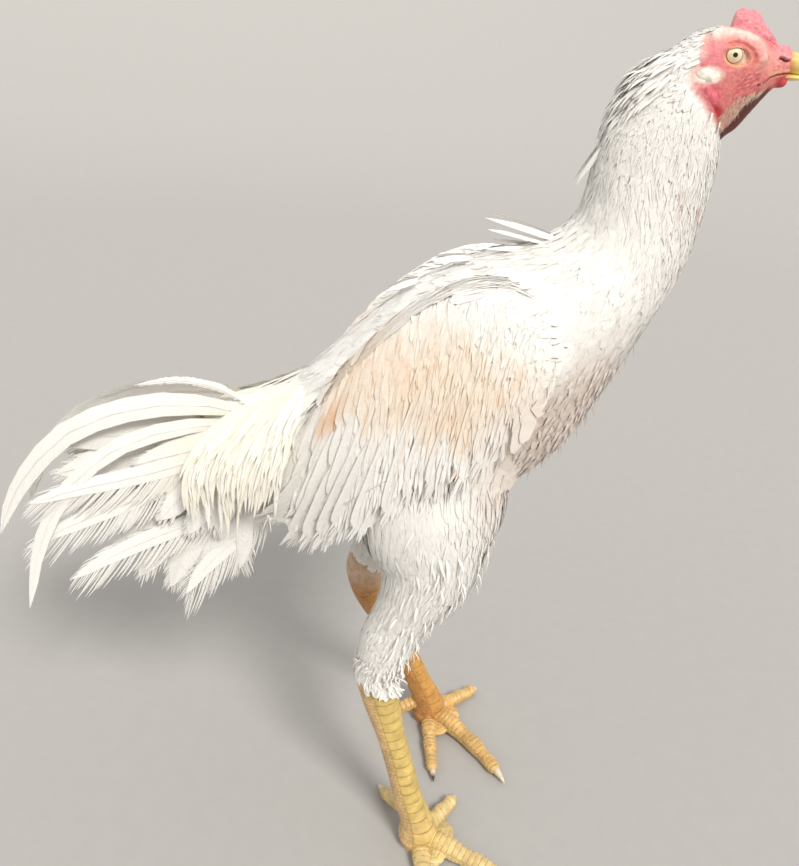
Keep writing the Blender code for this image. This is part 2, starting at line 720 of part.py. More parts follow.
def wing_shape(sign, grow=0.0):
    return loft("wing", [wing_ring(row, sign, grow) for row in WING_ROWS])


def make_wing(side, sign, material):
    """The folded wing: a core with flight feathers and coverts laid over it in tiers."""
    wing = wing_shape(sign, -CORE_DEPTH)
    chance = random.Random(VANE_SEED + 2)

    def surface(place, share, lift):
        return wing_point(sign, place, share, lift)

    vanes = []
    for first, last, step, wide, stand_off, count in WING_TIERS:
        for k in range(count):
            start = (between(first[0], last[0], k, count), between(first[1], last[1], k, count))
            reach = (step[0] * chance.uniform(0.92, 1.06), step[1] * chance.uniform(0.95, 1.03))
            depth = CORE_DEPTH + ROOT_DEPTH
            vanes.append(laid_vane(surface, start, reach, wide, stand_off, depth, False))
    combine(wing, "UNION", vanes, "MANIFOLD")
    combine(wing, "DIFFERENCE", [grown_torso()], "MANIFOLD")
    return finish(wing, "wing_" + side, material)


def leg_rows(side):
    """Rows of one leg from the hip to the sole, closer together on the shank."""
    parts = LEG_ROWS[side]
    rows = parts["thigh"] + parts["shank"] + parts["ankle"]
    hock, ankle = len(parts["thigh"]), len(parts["thigh"]) + len(parts["shank"])
    spread = list(smooth_rows(rows, RINGS_PER_ROW))
    fine = smooth_rows(rows, FINE_STEPS)
    picks = np.linspace(hock, ankle, 2 * SHANK_SCUTES + 1) * FINE_STEPS
    shank = [fine[k] for k in picks.astype(int)]
    return spread[:hock * RINGS_PER_ROW], shank, spread[ankle * RINGS_PER_ROW + 1:]


def tube_rings(rows, lifts=None, grow=0.0, sides=LEG_SIDES):
    """Rings along a path, each raised in front by its own share of the depth."""
    lifts = lifts or [0.0] * len(rows)
    turns = [2 * math.pi * k / sides for k in range(sides)]
    rings = []
    for row, lift, (centre, fore, side) in zip(rows, lifts, path_frames(rows)):
        points = ring(centre, fore * (row[3] + grow), side * (row[4] + grow), sides=sides)
        fronts = [max(0.0, math.cos(t)) ** 0.5 for t in turns]
        rings.append([p + fore * (lift * row[3] * f) for p, f in zip(points, fronts)])
    return rings


def make_leg(side, sign, materials):
    thigh_rows, shank_rows, ankle_rows = leg_rows(side)
    rows = thigh_rows + shank_rows + ankle_rows
    lifts = [0.0] * len(thigh_rows)
    lifts += [SCUTE_LIFT * (k % 2) for k in range(len(shank_rows))]
    lifts += [0.0] * len(ankle_rows)
    hock = len(thigh_rows)
    ankle = hock + len(shank_rows) - 1
    rings = tube_rings(rows, lifts)
    grown = tube_rings(rows, lifts, GAP)
    thigh = loft("thigh", rings[:hock + 1])
    combine(thigh, "DIFFERENCE", [grown_torso(), wing_shape(sign, WING_ROOM)])
    shank = loft("shank", stretch(rings, hock, ankle))
    foot = loft("foot", stretch(rings, ankle, len(rings) - 1))
    combine(foot, "DIFFERENCE", [slab((-1, -1, -FLOOR_DEPTH), (1, 1, 0))])
    finish(foot, "foot_" + side, materials["scales_yellow"], 50)
    finish(thigh, "thigh_" + side, materials["feathers_white"])
    finish(shank, "shank_" + side, materials["scales_yellow"], 60)
    add_toes(side, Vector(rows[-1][:3]), [grown[hock:ankle + 2], grown[ankle:]], materials)


def toe_sections(toe, place, hind):
    """Rows along one toe: centre, heading, half height, half width and scute lift."""
    heading, bend, length, high, wide = toe[:5]
    scutes = 4 if hind else 5
    count = 2 * scutes + 1
    centre = place.copy()
    rows = []
    for k in range(count):
        t = k / (count - 1)
        turn = math.radians(heading + bend * (t - 0.5))
        ahead = Vector((math.cos(turn), math.sin(turn), 0))
        if k:
            centre += ahead * (length / (count - 1))
        shrink = 1 - (1 - TOE_TAPER) * t
        pad = 1 + 0.07 * math.cos(2 * math.pi * t * (2 if hind else 3))
        half_high = high * shrink * pad
        centre.z = half_high - TOE_SINK
        if hind:
            centre.z += (HIND_TOE_HEIGHT - half_high) * (1 - t) ** 1.3
        lift = 1 + SCUTE_LIFT * (k % 2)
        rows.append((centre.copy(), ahead, half_high, wide * shrink * pad, lift))
    return rows


def toe_rings(rows, grow=0.0):
    rings = []
    for centre, ahead, high, wide, lift in rows:
        across = UP.cross(ahead)
        points = ring(centre, UP * (high + grow), across * (wide + grow), sides=TOE_SIDES)
        rings.append([
            point + UP * (max(0.0, point.z - centre.z) * (lift - 1)) for point in points
        ])
    return rings


def add_toes(side, place, rooms, materials):
    """The four toes of a foot, flat underneath and clear of the ankle and each other."""
    middle_room = toe_rings(toe_sections(TOES[side]["middle"], place, False), GAP)
    for name, toe in TOES[side].items():
        rows = toe_sections(toe, place, name == "hind")
        digit = loft("toe", toe_rings(rows))
        near = rooms if name == "middle" else rooms + [middle_room]
        floor = slab((-1, -1, -FLOOR_DEPTH), (1, 1, 0))
        combine(digit, "DIFFERENCE", [floor] + [loft("room", room) for room in near])
        finish(digit, "toe_" + name + "_" + side, materials["scales_yellow"], 50)
        make_claw(name + "_" + side, rows[-1], toe[5], materials["claw_horn"])


def make_claw(name, end, length, material):
    """A curved horn claw that starts just past the toe and stays off the floor."""
    centre, ahead, high, wide, _ = end
    across = UP.cross(ahead)
    rings = []
    count = 3
    for k in range(count):
        t = k / count
        size = (1 - t) ** 0.8
        middle = centre + ahead * (GAP + length * t)
        middle.z = centre.z + high * (0.25 * t - 0.55 * t * t)
        half = high * 0.80 * size
        rings.append(ring(middle, UP * half, across * (wide * 0.72 * size), sides=8))
    tip = centre + ahead * (GAP + length)
    tip.z = max(0.0012, centre.z - high * 0.45)
    claw = loft("claw", rings, tip)
    return finish(claw, "claw_" + name, material, 60)


def centre_model():
    """Set the middle of the model's box over the origin, with the soles at zero."""
    items = [item for item in bpy.data.objects if item.type == "MESH"]
    points = np.array([vert.co[:] for item in items for vert in item.data.vertices])
    low, high = points.min(axis=0), points.max(axis=0)
    shift = Vector((-(low[0] + high[0]) / 2, -(low[1] + high[1]) / 2, -low[2]))
    for item in items:
        for vert in item.data.vertices:
            vert.co += shift
        item.data.update()


def main():
    clear_scene()
    materials = {name: make_material(name) for name in MATERIALS}
    rings, starts = body_rings()
    make_head(rings, starts, materials["skin_red"])
    make_comb(materials["comb_pink"])
    make_beaks(materials["beak_horn"])
    make_neck(rings, starts, materials["feathers_white"])
    make_torso(rings, starts, materials["feathers_white"])
    make_tail(rings, starts, materials["feathers_white"])
    for side, sign in (("left", 1), ("right", -1)):
        make_eye(side, sign, materials["eye_pearl"])
        make_wing(side, sign, materials["feathers_white"])
        make_leg(side, sign, materials)
    centre_model()


main()
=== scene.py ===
# Looks of the white aseel cock: one skin, scaly legs and a coat of separate feathers.
# Sizes are metres, in a frame that faces +X with the left side at +Y, and every made
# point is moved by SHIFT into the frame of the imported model.
import math

import bpy
import numpy as np
from mathutils import Matrix, Vector
from mathutils.bvhtree import BVHTree


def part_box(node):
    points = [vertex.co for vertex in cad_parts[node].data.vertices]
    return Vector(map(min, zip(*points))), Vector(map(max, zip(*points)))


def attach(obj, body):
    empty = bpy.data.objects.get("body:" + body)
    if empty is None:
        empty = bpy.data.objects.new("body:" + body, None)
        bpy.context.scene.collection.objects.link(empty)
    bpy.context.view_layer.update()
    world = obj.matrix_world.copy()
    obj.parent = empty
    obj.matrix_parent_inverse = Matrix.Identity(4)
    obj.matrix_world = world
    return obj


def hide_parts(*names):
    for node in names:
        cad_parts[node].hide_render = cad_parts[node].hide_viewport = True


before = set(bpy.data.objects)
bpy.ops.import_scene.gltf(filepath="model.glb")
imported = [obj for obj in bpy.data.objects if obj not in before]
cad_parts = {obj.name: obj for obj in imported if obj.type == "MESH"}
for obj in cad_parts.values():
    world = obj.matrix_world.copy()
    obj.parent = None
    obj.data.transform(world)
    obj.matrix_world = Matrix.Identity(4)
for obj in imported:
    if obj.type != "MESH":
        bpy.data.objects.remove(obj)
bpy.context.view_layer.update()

SEED = 11
UP = np.array([0.0, 0.0, 1.0])
LEFT = np.array([0.0, 1.0, 0.0])
SIDES = {"left": 1, "right": -1}

# The body's sections, as in the solids: upper point (x, z), lower point (x, z), half
# width and how far the wide part leans up.
HEAD_ROWS = [
    (0.2405, 0.6525, 0.2400, 0.6345, 0.0080, 0.00),
    (0.2320, 0.6565, 0.2325, 0.6275, 0.0118, 0.10),
    (0.2200, 0.6605, 0.2270, 0.6195, 0.0148, 0.20),
    (0.2060, 0.6645, 0.2210, 0.6100, 0.0182, 0.25),
    (0.1900, 0.6655, 0.2150, 0.6010, 0.0205, 0.22),
    (0.1755, 0.6600, 0.2090, 0.5945, 0.0222, 0.15),
]
NECK_ROWS = [
    (0.1630, 0.6500, 0.2065, 0.5870, 0.0240, 0.08),
    (0.1430, 0.6270, 0.2085, 0.5730, 0.0280, 0.00),
    (0.1280, 0.6000, 0.2075, 0.5530, 0.0320, 0.00),
    (0.1225, 0.5720, 0.2050, 0.5290, 0.0360, 0.00),
    (0.1205, 0.5460, 0.2000, 0.5040, 0.0410, 0.00),
    (0.1130, 0.5240, 0.1905, 0.4790, 0.0490, 0.00),
]
TORSO_ROWS = [
    (0.0930, 0.5110, 0.1770, 0.4530, 0.0610, 0.00),
    (0.0640, 0.5010, 0.1630, 0.4240, 0.0720, 0.00),
    (0.0330, 0.4880, 0.1480, 0.3900, 0.0790, 0.00),
    (0.0020, 0.4680, 0.1290, 0.3560, 0.0810, 0.00),
    (-0.0280, 0.4400, 0.0990, 0.3270, 0.0790, 0.00),
    (-0.0540, 0.4130, 0.0580, 0.3120, 0.0730, 0.00),
    (-0.0760, 0.3900, 0.0120, 0.3050, 0.0640, 0.00),
    (-0.0930, 0.3770, -0.0340, 0.3080, 0.0510, 0.00),
]
TAIL_ROWS = [
    (-0.1080, 0.3720, -0.0770, 0.3130, 0.0360, 0.00),
    (-0.1220, 0.3700, -0.0910, 0.3100, 0.0290, 0.00),
    (-0.1370, 0.3640, -0.1070, 0.3130, 0.0210, 0.00),
    (-0.1520, 0.3560, -0.1240, 0.3220, 0.0110, 0.00),
]
BODY_ROWS = HEAD_ROWS + NECK_ROWS + TORSO_ROWS + TAIL_ROWS
BODY_END = len(BODY_ROWS) - 1

# Folded wing: upper point, lower point (x, outwards, z) and half thickness.
WING_ROWS = [
    (0.1060, 0.0620, 0.4640, 0.1040, 0.0740, 0.4370, 0.006),
    (0.0950, 0.0550, 0.4830, 0.0970, 0.0812, 0.4190, 0.014),
    (0.0700, 0.0450, 0.4940, 0.0790, 0.0845, 0.3920, 0.019),
    (0.0400, 0.0400, 0.4900, 0.0560, 0.0855, 0.3610, 0.021),
    (0.0100, 0.0400, 0.4720, 0.0300, 0.0830, 0.3410, 0.021),
    (-0.0180, 0.0440, 0.4440, 0.0020, 0.0800, 0.3200, 0.019),
    (-0.0400, 0.0450, 0.4150, -0.0280, 0.0740, 0.2980, 0.016),
    (-0.0620, 0.0440, 0.3800, -0.0560, 0.0660, 0.2820, 0.010),
    (-0.0880, 0.0420, 0.3360, -0.0840, 0.0560, 0.2900, 0.005),
]

# Legs: centre (x, y, z), half depth and half width, from the hip down to the sole.
LEG_ROWS = {
    "right": [
        (0.034, -0.046, 0.370, 0.052, 0.034),
        (0.034, -0.056, 0.335, 0.056, 0.037),
        (0.034, -0.062, 0.305, 0.051, 0.035),
        (0.037, -0.064, 0.275, 0.038, 0.030),
        (0.030, -0.065, 0.250, 0.028, 0.025),
        (0.021, -0.064, 0.226, 0.022, 0.021),
        (0.013, -0.062, 0.202, 0.0215, 0.0195),
        (0.009, -0.061, 0.184, 0.019, 0.017),
        (0.0050, -0.0600, 0.1690, 0.0155, 0.0125),
        (0.0107, -0.0605, 0.1450, 0.0140, 0.0118),
        (0.0210, -0.0620, 0.1120, 0.0108, 0.0100),
        (0.0298, -0.0635, 0.0850, 0.0103, 0.0094),
        (0.0375, -0.0650, 0.0600, 0.0104, 0.0096),
        (0.0447, -0.0665, 0.0390, 0.0110, 0.0106),
        (0.0500, -0.0675, 0.0260, 0.0120, 0.0125),
        (0.0530, -0.0680, 0.0140, 0.0148, 0.0145),
        (0.0540, -0.0680, -0.0010, 0.0135, 0.0135),
    ],
    "left": [
        (0.032, 0.046, 0.370, 0.052, 0.034),
        (0.030, 0.056, 0.335, 0.055, 0.037),
        (0.028, 0.062, 0.305, 0.049, 0.035),
        (0.027, 0.063, 0.275, 0.037, 0.030),
        (0.018, 0.0635, 0.250, 0.028, 0.025),
        (0.007, 0.0635, 0.226, 0.022, 0.021),
        (-0.003, 0.063, 0.204, 0.021, 0.019),
        (-0.009, 0.063, 0.188, 0.019, 0.0165),
        (-0.0135, 0.0630, 0.1730, 0.0150, 0.0122),
        (-0.0055, 0.0635, 0.1490, 0.0140, 0.0118),
        (0.0140, 0.0650, 0.1150, 0.0112, 0.0102),
        (0.0295, 0.0665, 0.0860, 0.0108, 0.0098),
        (0.0420, 0.0675, 0.0610, 0.0108, 0.0100),
        (0.0525, 0.0685, 0.0390, 0.0112, 0.0108),
        (0.0590, 0.0695, 0.0260, 0.0122, 0.0125),
        (0.0625, 0.0700, 0.0140, 0.0148, 0.0145),
        (0.0635, 0.0700, -0.0010, 0.0135, 0.0135),
    ],
}

# Toes: heading in degrees from +X, bend along the toe, length to the claw, half height
# and half width at the root, claw length.
TOES = {
    "right": {
        "inner": (51, 10, 0.048, 0.0082, 0.0082, 0.009),
        "middle": (-25, -6, 0.085, 0.0092, 0.0092, 0.016),
        "outer": (-84, -8, 0.066, 0.0083, 0.0083, 0.013),
        "hind": (127, -6, 0.051, 0.0074, 0.0074, 0.011),
    },
    "left": {
        "inner": (-87, 6, 0.068, 0.0080, 0.0080, 0.013),
        "middle": (-45, -24, 0.089, 0.0094, 0.0094, 0.016),
        "outer": (37, 6, 0.057, 0.0083, 0.0083, 0.009),
        "hind": (-165, 6, 0.049, 0.0074, 0.0070, 0.010),
    },
}
TOE_SINK = 0.0006
TOE_TAPER = 0.62
HIND_TOE_HEIGHT = 0.030
TOE_SLIM = 0.93
WEB_REACH = 0.019
WEB_HALF = (0.0120, 0.0120, 0.0034)

# Head details: eggs given by centre, half axes and turn about y.
EYE_PLACE = (0.1990, 0.0122, 0.6480)
EYE_RADIUS = 0.0078
LID_RADIUS = 0.0091
EYE_OPENING = (0.2004, 0.6474)
EYE_OPENING_HALF = (0.0071, 0.0051)
EYE_OPENING_TURN = 0.10
EYE_CORNER = 0.0162
LID_THICKNESS = 0.0012
FACE_BULBS = [
    ((0.1838, 0.0190, 0.6345), (0.0082, 0.0030, 0.0050), 0.10),
    ((0.1862, 0.0178, 0.6225), (0.0100, 0.0046, 0.0078), 0.45),
    ((0.2340, 0.0064, 0.6500), (0.0064, 0.0042, 0.0052), 0.10),
]
CHIN_BULB = ((0.2372, 0, 0.6345), (0.0056, 0.0072, 0.0044))
COMB_TOP = [
    (0.1994, 0.6700), (0.1998, 0.6735), (0.2006, 0.6757), (0.2024, 0.6772), (0.2049, 0.6779),
    (0.2072, 0.6778), (0.2092, 0.6766), (0.2108, 0.6775), (0.2126, 0.6776), (0.2156, 0.6756),
    (0.2182, 0.6718), (0.2215, 0.6686), (0.2247, 0.6656), (0.2284, 0.6619), (0.2315, 0.6579),
    (0.2332, 0.6564), (0.2345, 0.6567), (0.2362, 0.6577), (0.2389, 0.6574), (0.2410, 0.6560),
    (0.2424, 0.6540), (0.2429, 0.6512),
]
COMB_HALF = [(0.1994, 0.0036), (0.2040, 0.0050), (0.2150, 0.0056), (0.2330, 0.0048), (0.2429, 0.0036)]
COMB_BEADS = [(0.2205, 0.6612), (0.2232, 0.6600), (0.2258, 0.6578), (0.2284, 0.6560), (0.2312, 0.6540)]
COMB_BEAD = (0.0046, 0.0026)

# Lines of the face seen from the side (x, z).
BROW_LINE = [
    (0.1850, 0.6590), (0.1878, 0.6608), (0.1964, 0.6627), (0.2056, 0.6619), (0.2133, 0.6592),
    (0.2176, 0.6556), (0.2190, 0.6510), (0.2188, 0.6470),
]
FOLD_LINE = [
    (0.1905, 0.6520), (0.1921, 0.6537), (0.1953, 0.6552), (0.2006, 0.6563), (0.2057, 0.6552),
    (0.2107, 0.6522), (0.2133, 0.6482), (0.2136, 0.6450),
]
MOUTH_LINE = [
    (0.2195, 0.6309), (0.2212, 0.6312), (0.2235, 0.6328), (0.2263, 0.6361), (0.2308, 0.6382),
    (0.2357, 0.6393), (0.2420, 0.6402),
]
NOSTRIL_LINE = [(0.2309, 0.6489), (0.2328, 0.6486), (0.2345, 0.6478), (0.2362, 0.6474), (0.2374, 0.6476)]
FRINGE_TOP = [
    (0.2300, 0.6300), (0.2209, 0.6254), (0.2157, 0.6229), (0.2087, 0.6215), (0.2060, 0.6178),
    (0.2025, 0.6140), (0.2005, 0.6077),
]
FRINGE_LOW = [
    (0.2315, 0.6280), (0.2247, 0.6240), (0.2187, 0.6194), (0.2137, 0.6161), (0.2108, 0.6095),
    (0.2073, 0.6021), (0.2030, 0.5975),
]
BEAKS = {
    "beak_upper": ([
        (0.2385, 0.6532, 0.6404, 0.0080),
        (0.2440, 0.6531, 0.6402, 0.0074),
        (0.2490, 0.6520, 0.6398, 0.0066),
        (0.2540, 0.6492, 0.6392, 0.0054),
        (0.2590, 0.6446, 0.6380, 0.0037),
        (0.2612, 0.6411, 0.6368, 0.0023),
    ], (0.2622, 0, 0.6361)),
    "beak_lower": ([
        (0.2385, 0.6398, 0.6352, 0.0070),
        (0.2440, 0.6398, 0.6356, 0.0064),
        (0.2490, 0.6396, 0.6360, 0.0054),
        (0.2535, 0.6392, 0.6366, 0.0042),
        (0.2562, 0.6386, 0.6372, 0.0024),
    ], (0.2577, 0, 0.6378)),
}

# Border between the bare face and the feathers, from the crown to the throat (x, z).
FACE_BORDER = [
    (0.1950, 0.6680), (0.1880, 0.6630), (0.1810, 0.6601), (0.1768, 0.6552),
    (0.1764, 0.6451), (0.1715, 0.6360), (0.1727, 0.6268), (0.1805, 0.6180),
    (0.1923, 0.6071), (0.2008, 0.5987), (0.2080, 0.5900),
]

# Depth of the coat, from the CAD surface down to the skin, along the body.
COAT_PLACES = (4.0, 5.2, 7.0, 9.0, 12.0, 20.0, 23.0)
COAT_DEPTHS = (0.0, 0.0010, 0.0035, 0.0050, 0.0055, 0.0055, 0.0040)
WING_COAT = 0.0045
THIGH_COAT = 0.0055
BODY_VOXEL = 0.0030
HEAD_VOXEL = 0.00046
LEG_VOXEL = 0.00080
BODY_SIDES = 64
HEAD_SIDES = 72
WING_SIDES = 32
LEG_SIDES = 40
COMB_SIDES = 28
TOE_SIDES = 20
BEAK_SIDES = 40
# Sections between which the head's skin dips under the neck's, and how deep it goes.
HEAD_TUCK = (5.2, 6.0)
TUCK_DEPTH = 0.0022
# Sections between which the lift of a leg changes, and how far the comb is rooted.
HOCK_PLACES = (6.4, 7.4)
COMB_ROOT = 0.007

eye_low, eye_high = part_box("eye_right")
SHIFT = (np.array(eye_low) + np.array(eye_high)) / 2
SHIFT = SHIFT - np.array([EYE_PLACE[0], -EYE_PLACE[1], EYE_PLACE[2]])

# The camera, taken from the photograph: height and tilt from the paving, then the
# distance, the roll and the upward shift of its frame.
PHOTO_HIGH = 866
CAMERA_FOCUS = 820
CAMERA_CENTRE_ROW = 333
CAMERA_TILT = math.radians(19.7)
CAMERA_ROLL = math.radians(5.2)
CAMERA_PLACE = (0.0, -0.582, 0.64)
SENSOR = 36.0
FLOOR_COLOUR = (0.38, 0.37, 0.355)
KEY_POWER = 2.75
FILL_POWER = 0.75
WORLD_POWER = 0.88
FLOOR_REACH = 7.0
FLOOR_RISE = 3.2
FLOOR_FLAT = 0.35
FLOOR_SIDES = 96
FLOOR_RINGS = 40


# Curves and surfaces


def unit(vectors):
    length = np.linalg.norm(vectors, axis=-1, keepdims=True)
    return vectors / np.maximum(length, 1e-12)


def curve_rows(rows, place):
    """Rows read at many places along the smooth curve through the given ones."""
    rows = np.asarray(rows, float)
    padded = np.vstack([2 * rows[0] - rows[1], rows, 2 * rows[-1] - rows[-2]])
    place = np.clip(np.atleast_1d(np.asarray(place, float)), 0, len(rows) - 1)
    start = np.minimum(place.astype(int), len(rows) - 2)
    f = (place - start)[..., None]
    a, b, c, d = (padded[start + k] for k in range(4))
    curve = 2 * b + (c - a) * f + (2 * a - 5 * b + 4 * c - d) * f ** 2
    return 0.5 * (curve + (3 * b - a - 3 * c + d) * f ** 3)


def body_surface(place, turn, lift=0.0):
    """Points on the body at sections and turns in radians from the spine to the left."""
    row = curve_rows(BODY_ROWS, place)
    zero = np.zeros_like(row[..., 0])
    top = np.stack([row[..., 0], zero, row[..., 1]], axis=-1)
    low = np.stack([row[..., 2], zero, row[..., 3]], axis=-1)
    up = (top - low) / 2
    length = np.linalg.norm(up, axis=-1)
    wide = (row[..., 4] + lift) * np.sin(turn) * (1 + row[..., 5] * np.cos(turn))
    rise = unit(up) * ((length + lift) * np.cos(turn))[..., None]
    return (top + low) / 2 + rise + LEFT * wide[..., None]


def wing_surface(sign, place, share, lift=0.0):
    """Points on the outer face of a wing, from its upper (0) to its lower (1) edge.

    Shares below 0 lie on the inner face; the tips of feathers hang down past the lower
    edge without curling under it."""
    row = curve_rows(WING_ROWS, place)
    mirror = np.array([1.0, sign, 1.0])
    top = row[..., 0:3] * mirror
    low = row[..., 3:6] * mirror
    up = (top - low) / 2
    length = np.linalg.norm(up, axis=-1)
    rise = unit(up)
    out = LEFT * sign - rise * (rise @ (LEFT * sign))[..., None]
    share = np.asarray(share, float)
    turn = np.arccos(np.clip(1 - 2 * np.abs(share), -1, 1)) * np.where(share < 0, -1, 1)
    height = np.where(share > 0, 1 - 2 * share, np.cos(turn))
    hang = (share > 0.7) & (np.asarray(place) > 1.0)
    bulge = np.maximum(np.sin(turn), np.where(hang, 0.917 - 1.1 * (share - 0.7), -1.0))
    point = (top + low) / 2 + rise * ((length + lift) * height)[..., None]
    return point + unit(out) * ((row[..., 6] + lift) * bulge)[..., None]


def leg_surface(side, place, turn, lift=0.0):
    """Points round a leg at sections and turns in radians from the front."""
    place = np.asarray(place, float)
    row = curve_rows(LEG_ROWS[side], place)
    ahead = curve_rows(LEG_ROWS[side], place + 0.1) - curve_rows(LEG_ROWS[side], place - 0.1)
    ahead = unit(ahead[..., :3])
    fore = np.array([1.0, 0, 0]) - ahead * ahead[..., :1]
    fore = unit(fore)
    across = np.cross(ahead, fore)
    point = row[..., :3] + fore * ((row[..., 3] + lift) * np.cos(turn))[..., None]
    return point + across * ((row[..., 4] + lift) * np.sin(turn))[..., None]


def smooth_noise(points, size, seed=0):
    """Soft noise from 0 to 1 at many points, the same on every run."""
    spot = np.asarray(points, float) / size + 17.3 * (seed + 1)
    cell = np.floor(spot)
    f = spot - cell
    f = f * f * (3 - 2 * f)
    total = 0.0
    for corner in np.ndindex(2, 2, 2):
        key = (cell + corner).astype(np.int64)
        mixed = key[..., 0] * 73856093 ^ key[..., 1] * 19349663 ^ key[..., 2] * 83492791
        mixed = (mixed ^ (mixed >> 13)) * 1274126177
        value = ((mixed ^ (mixed >> 16)) & 0xFFFF) / 65535.0
        weight = 1.0
        for axis, high in enumerate(corner):
            weight = weight * (f[..., axis] if high else 1 - f[..., axis])
        total = total + value * weight
    return total


def step_up(low, high, value):
    """Smooth rise from 0 at low to 1 at high."""
    t = np.clip((value - low) / (high - low), 0, 1)
    return t * t * (3 - 2 * t)


def ring_turns(sides):
    """Even turns in radians round a ring."""
    return np.arange(sides) * (2 * math.pi / sides)


def line_height(line, x):
    """Height at many x of a line given by its points (x, z)."""
    line = np.array(sorted(line))
    return np.interp(x, line[:, 0], line[:, 1])


# Meshes


def placed(name, data):
    """A new object in the scene."""
    item = bpy.data.objects.new(name, data)
    bpy.context.scene.collection.objects.link(item)
    return item


def mesh_object(name, points, faces, material=None, moved=True):
    """An object from an array of points and arrays or lists of faces."""
    points = np.asarray(points, float).reshape(-1, 3)
    if moved:
        points = points + SHIFT
    sizes = [np.full(len(group), np.asarray(group).shape[1]) for group in faces]
    corners = np.concatenate([np.asarray(group).ravel() for group in faces])
    sizes = np.concatenate(sizes)
    mesh = bpy.data.meshes.new(name)
    mesh.vertices.add(len(points))
    mesh.vertices.foreach_set("co", points.ravel())
    mesh.loops.add(len(corners))
    mesh.loops.foreach_set("vertex_index", corners.astype(np.int32))
    mesh.polygons.add(len(sizes))
    starts = np.concatenate([[0], np.cumsum(sizes)[:-1]])
    mesh.polygons.foreach_set("loop_start", starts.astype(np.int32))
    mesh.polygons.foreach_set("loop_total", sizes.astype(np.int32))
    mesh.update(calc_edges=True)
    mesh.shade_smooth()
    if material:
        mesh.materials.append(material)
    return placed(name, mesh)


def tube(rings):
    """Points and faces of a closed tube through rings of equal counts."""
    rings = np.asarray(rings, float)
    count, sides = rings.shape[:2]
    index = np.arange(count * sides).reshape(count, sides)
    near, far = index[:-1], index[1:]
    quads = np.stack([near, far, np.roll(far, -1, 1), np.roll(near, -1, 1)], axis=-1)
    return rings.reshape(-1, 3), [quads.reshape(-1, 4), index[:1], index[-1:, ::-1]]


def egg(centre, half, turn=0.0, sign=1, rings=16, sides=24):
    """Points and faces of a closed egg, mirrored to one side."""
    high = np.linspace(0.02, math.pi - 0.02, rings)
    turns = ring_turns(sides)
    x = np.outer(np.sin(high), np.cos(turns)) * half[0]
    y = np.outer(np.sin(high), np.sin(turns)) * half[1]
    z = np.outer(np.cos(high), np.ones(sides)) * half[2]
    c, s = math.cos(turn), math.sin(turn)
    points = np.stack([x * c + z * s, y, -x * s + z * c], axis=-1)
    return tube(points + np.array([centre[0], sign * centre[1], centre[2]]))


def joined(parts):
    """Many sets of points and faces as one."""
    points, quads = [], {}
    start = 0
    for part_points, faces in parts:
        points.append(np.asarray(part_points).reshape(-1, 3))
        for group in faces:
            group = np.asarray(group)
            quads.setdefault(group.shape[1], []).append(group + start)
        start += len(points[-1])
    return np.concatenate(points), [np.concatenate(groups) for groups in quads.values()]


def smoothed(item, factor, rounds):
    """The item, smoothed, with its modifiers applied."""
    smooth = item.modifiers.new("smooth", "SMOOTH")
    smooth.factor = factor
    smooth.iterations = rounds
    bpy.context.view_layer.update()
    shape = item.evaluated_get(bpy.context.evaluated_depsgraph_get())
    mesh = bpy.data.meshes.new_from_object(shape)
    item.modifiers.clear()
    item.data = mesh
    return item


def fused(name, parts, voxel, rounds):
    """One closed surface round overlapping closed pieces, smoothed a little."""
    points, faces = joined(parts)
    item = mesh_object(name, points, faces, moved=False)
    remesh = item.modifiers.new("remesh", "REMESH")
    remesh.mode = "VOXEL"
    remesh.voxel_size = voxel
    return smoothed(item, 0.5, rounds)


def read_all(items, key, wide=1, kind=float):
    """One value of every item as an array."""
    values = np.empty(len(items) * wide, kind)
    items.foreach_get(key, values)
    return values.reshape(-1, wide) if wide > 1 else values


def read_points(mesh):
    return read_all(mesh.vertices, "co", 3)


def read_normals(mesh):
    return read_all(mesh.vertex_normals, "vector", 3)


def read_corners(mesh):
    return read_all(mesh.loops, "vertex_index", kind=np.int32)


def write_points(mesh, points):
    mesh.vertices.foreach_set("co", np.asarray(points, float).ravel())
    mesh.update()


def set_attribute(mesh, name, kind, key, values):
    attribute = mesh.attributes.new(name, kind, "POINT")
    attribute.data.foreach_set(key, np.asarray(values, float).ravel())


def set_tints(mesh, colours):
    values = np.ones((len(mesh.vertices), 4))
    values[:, :3] = colours
    set_attribute(mesh, "tint", "FLOAT_COLOR", "color", values)


def set_map(mesh, name, spots):
    """A UV map from one spot for each point."""
    layer = mesh.uv_layers.new(name=name)
    layer.data.foreach_set("uv", np.asarray(spots, float)[read_corners(mesh)].ravel())


# Materials

# Distance between the barbs drawn on a feather.
BARB_PITCH = 0.00045


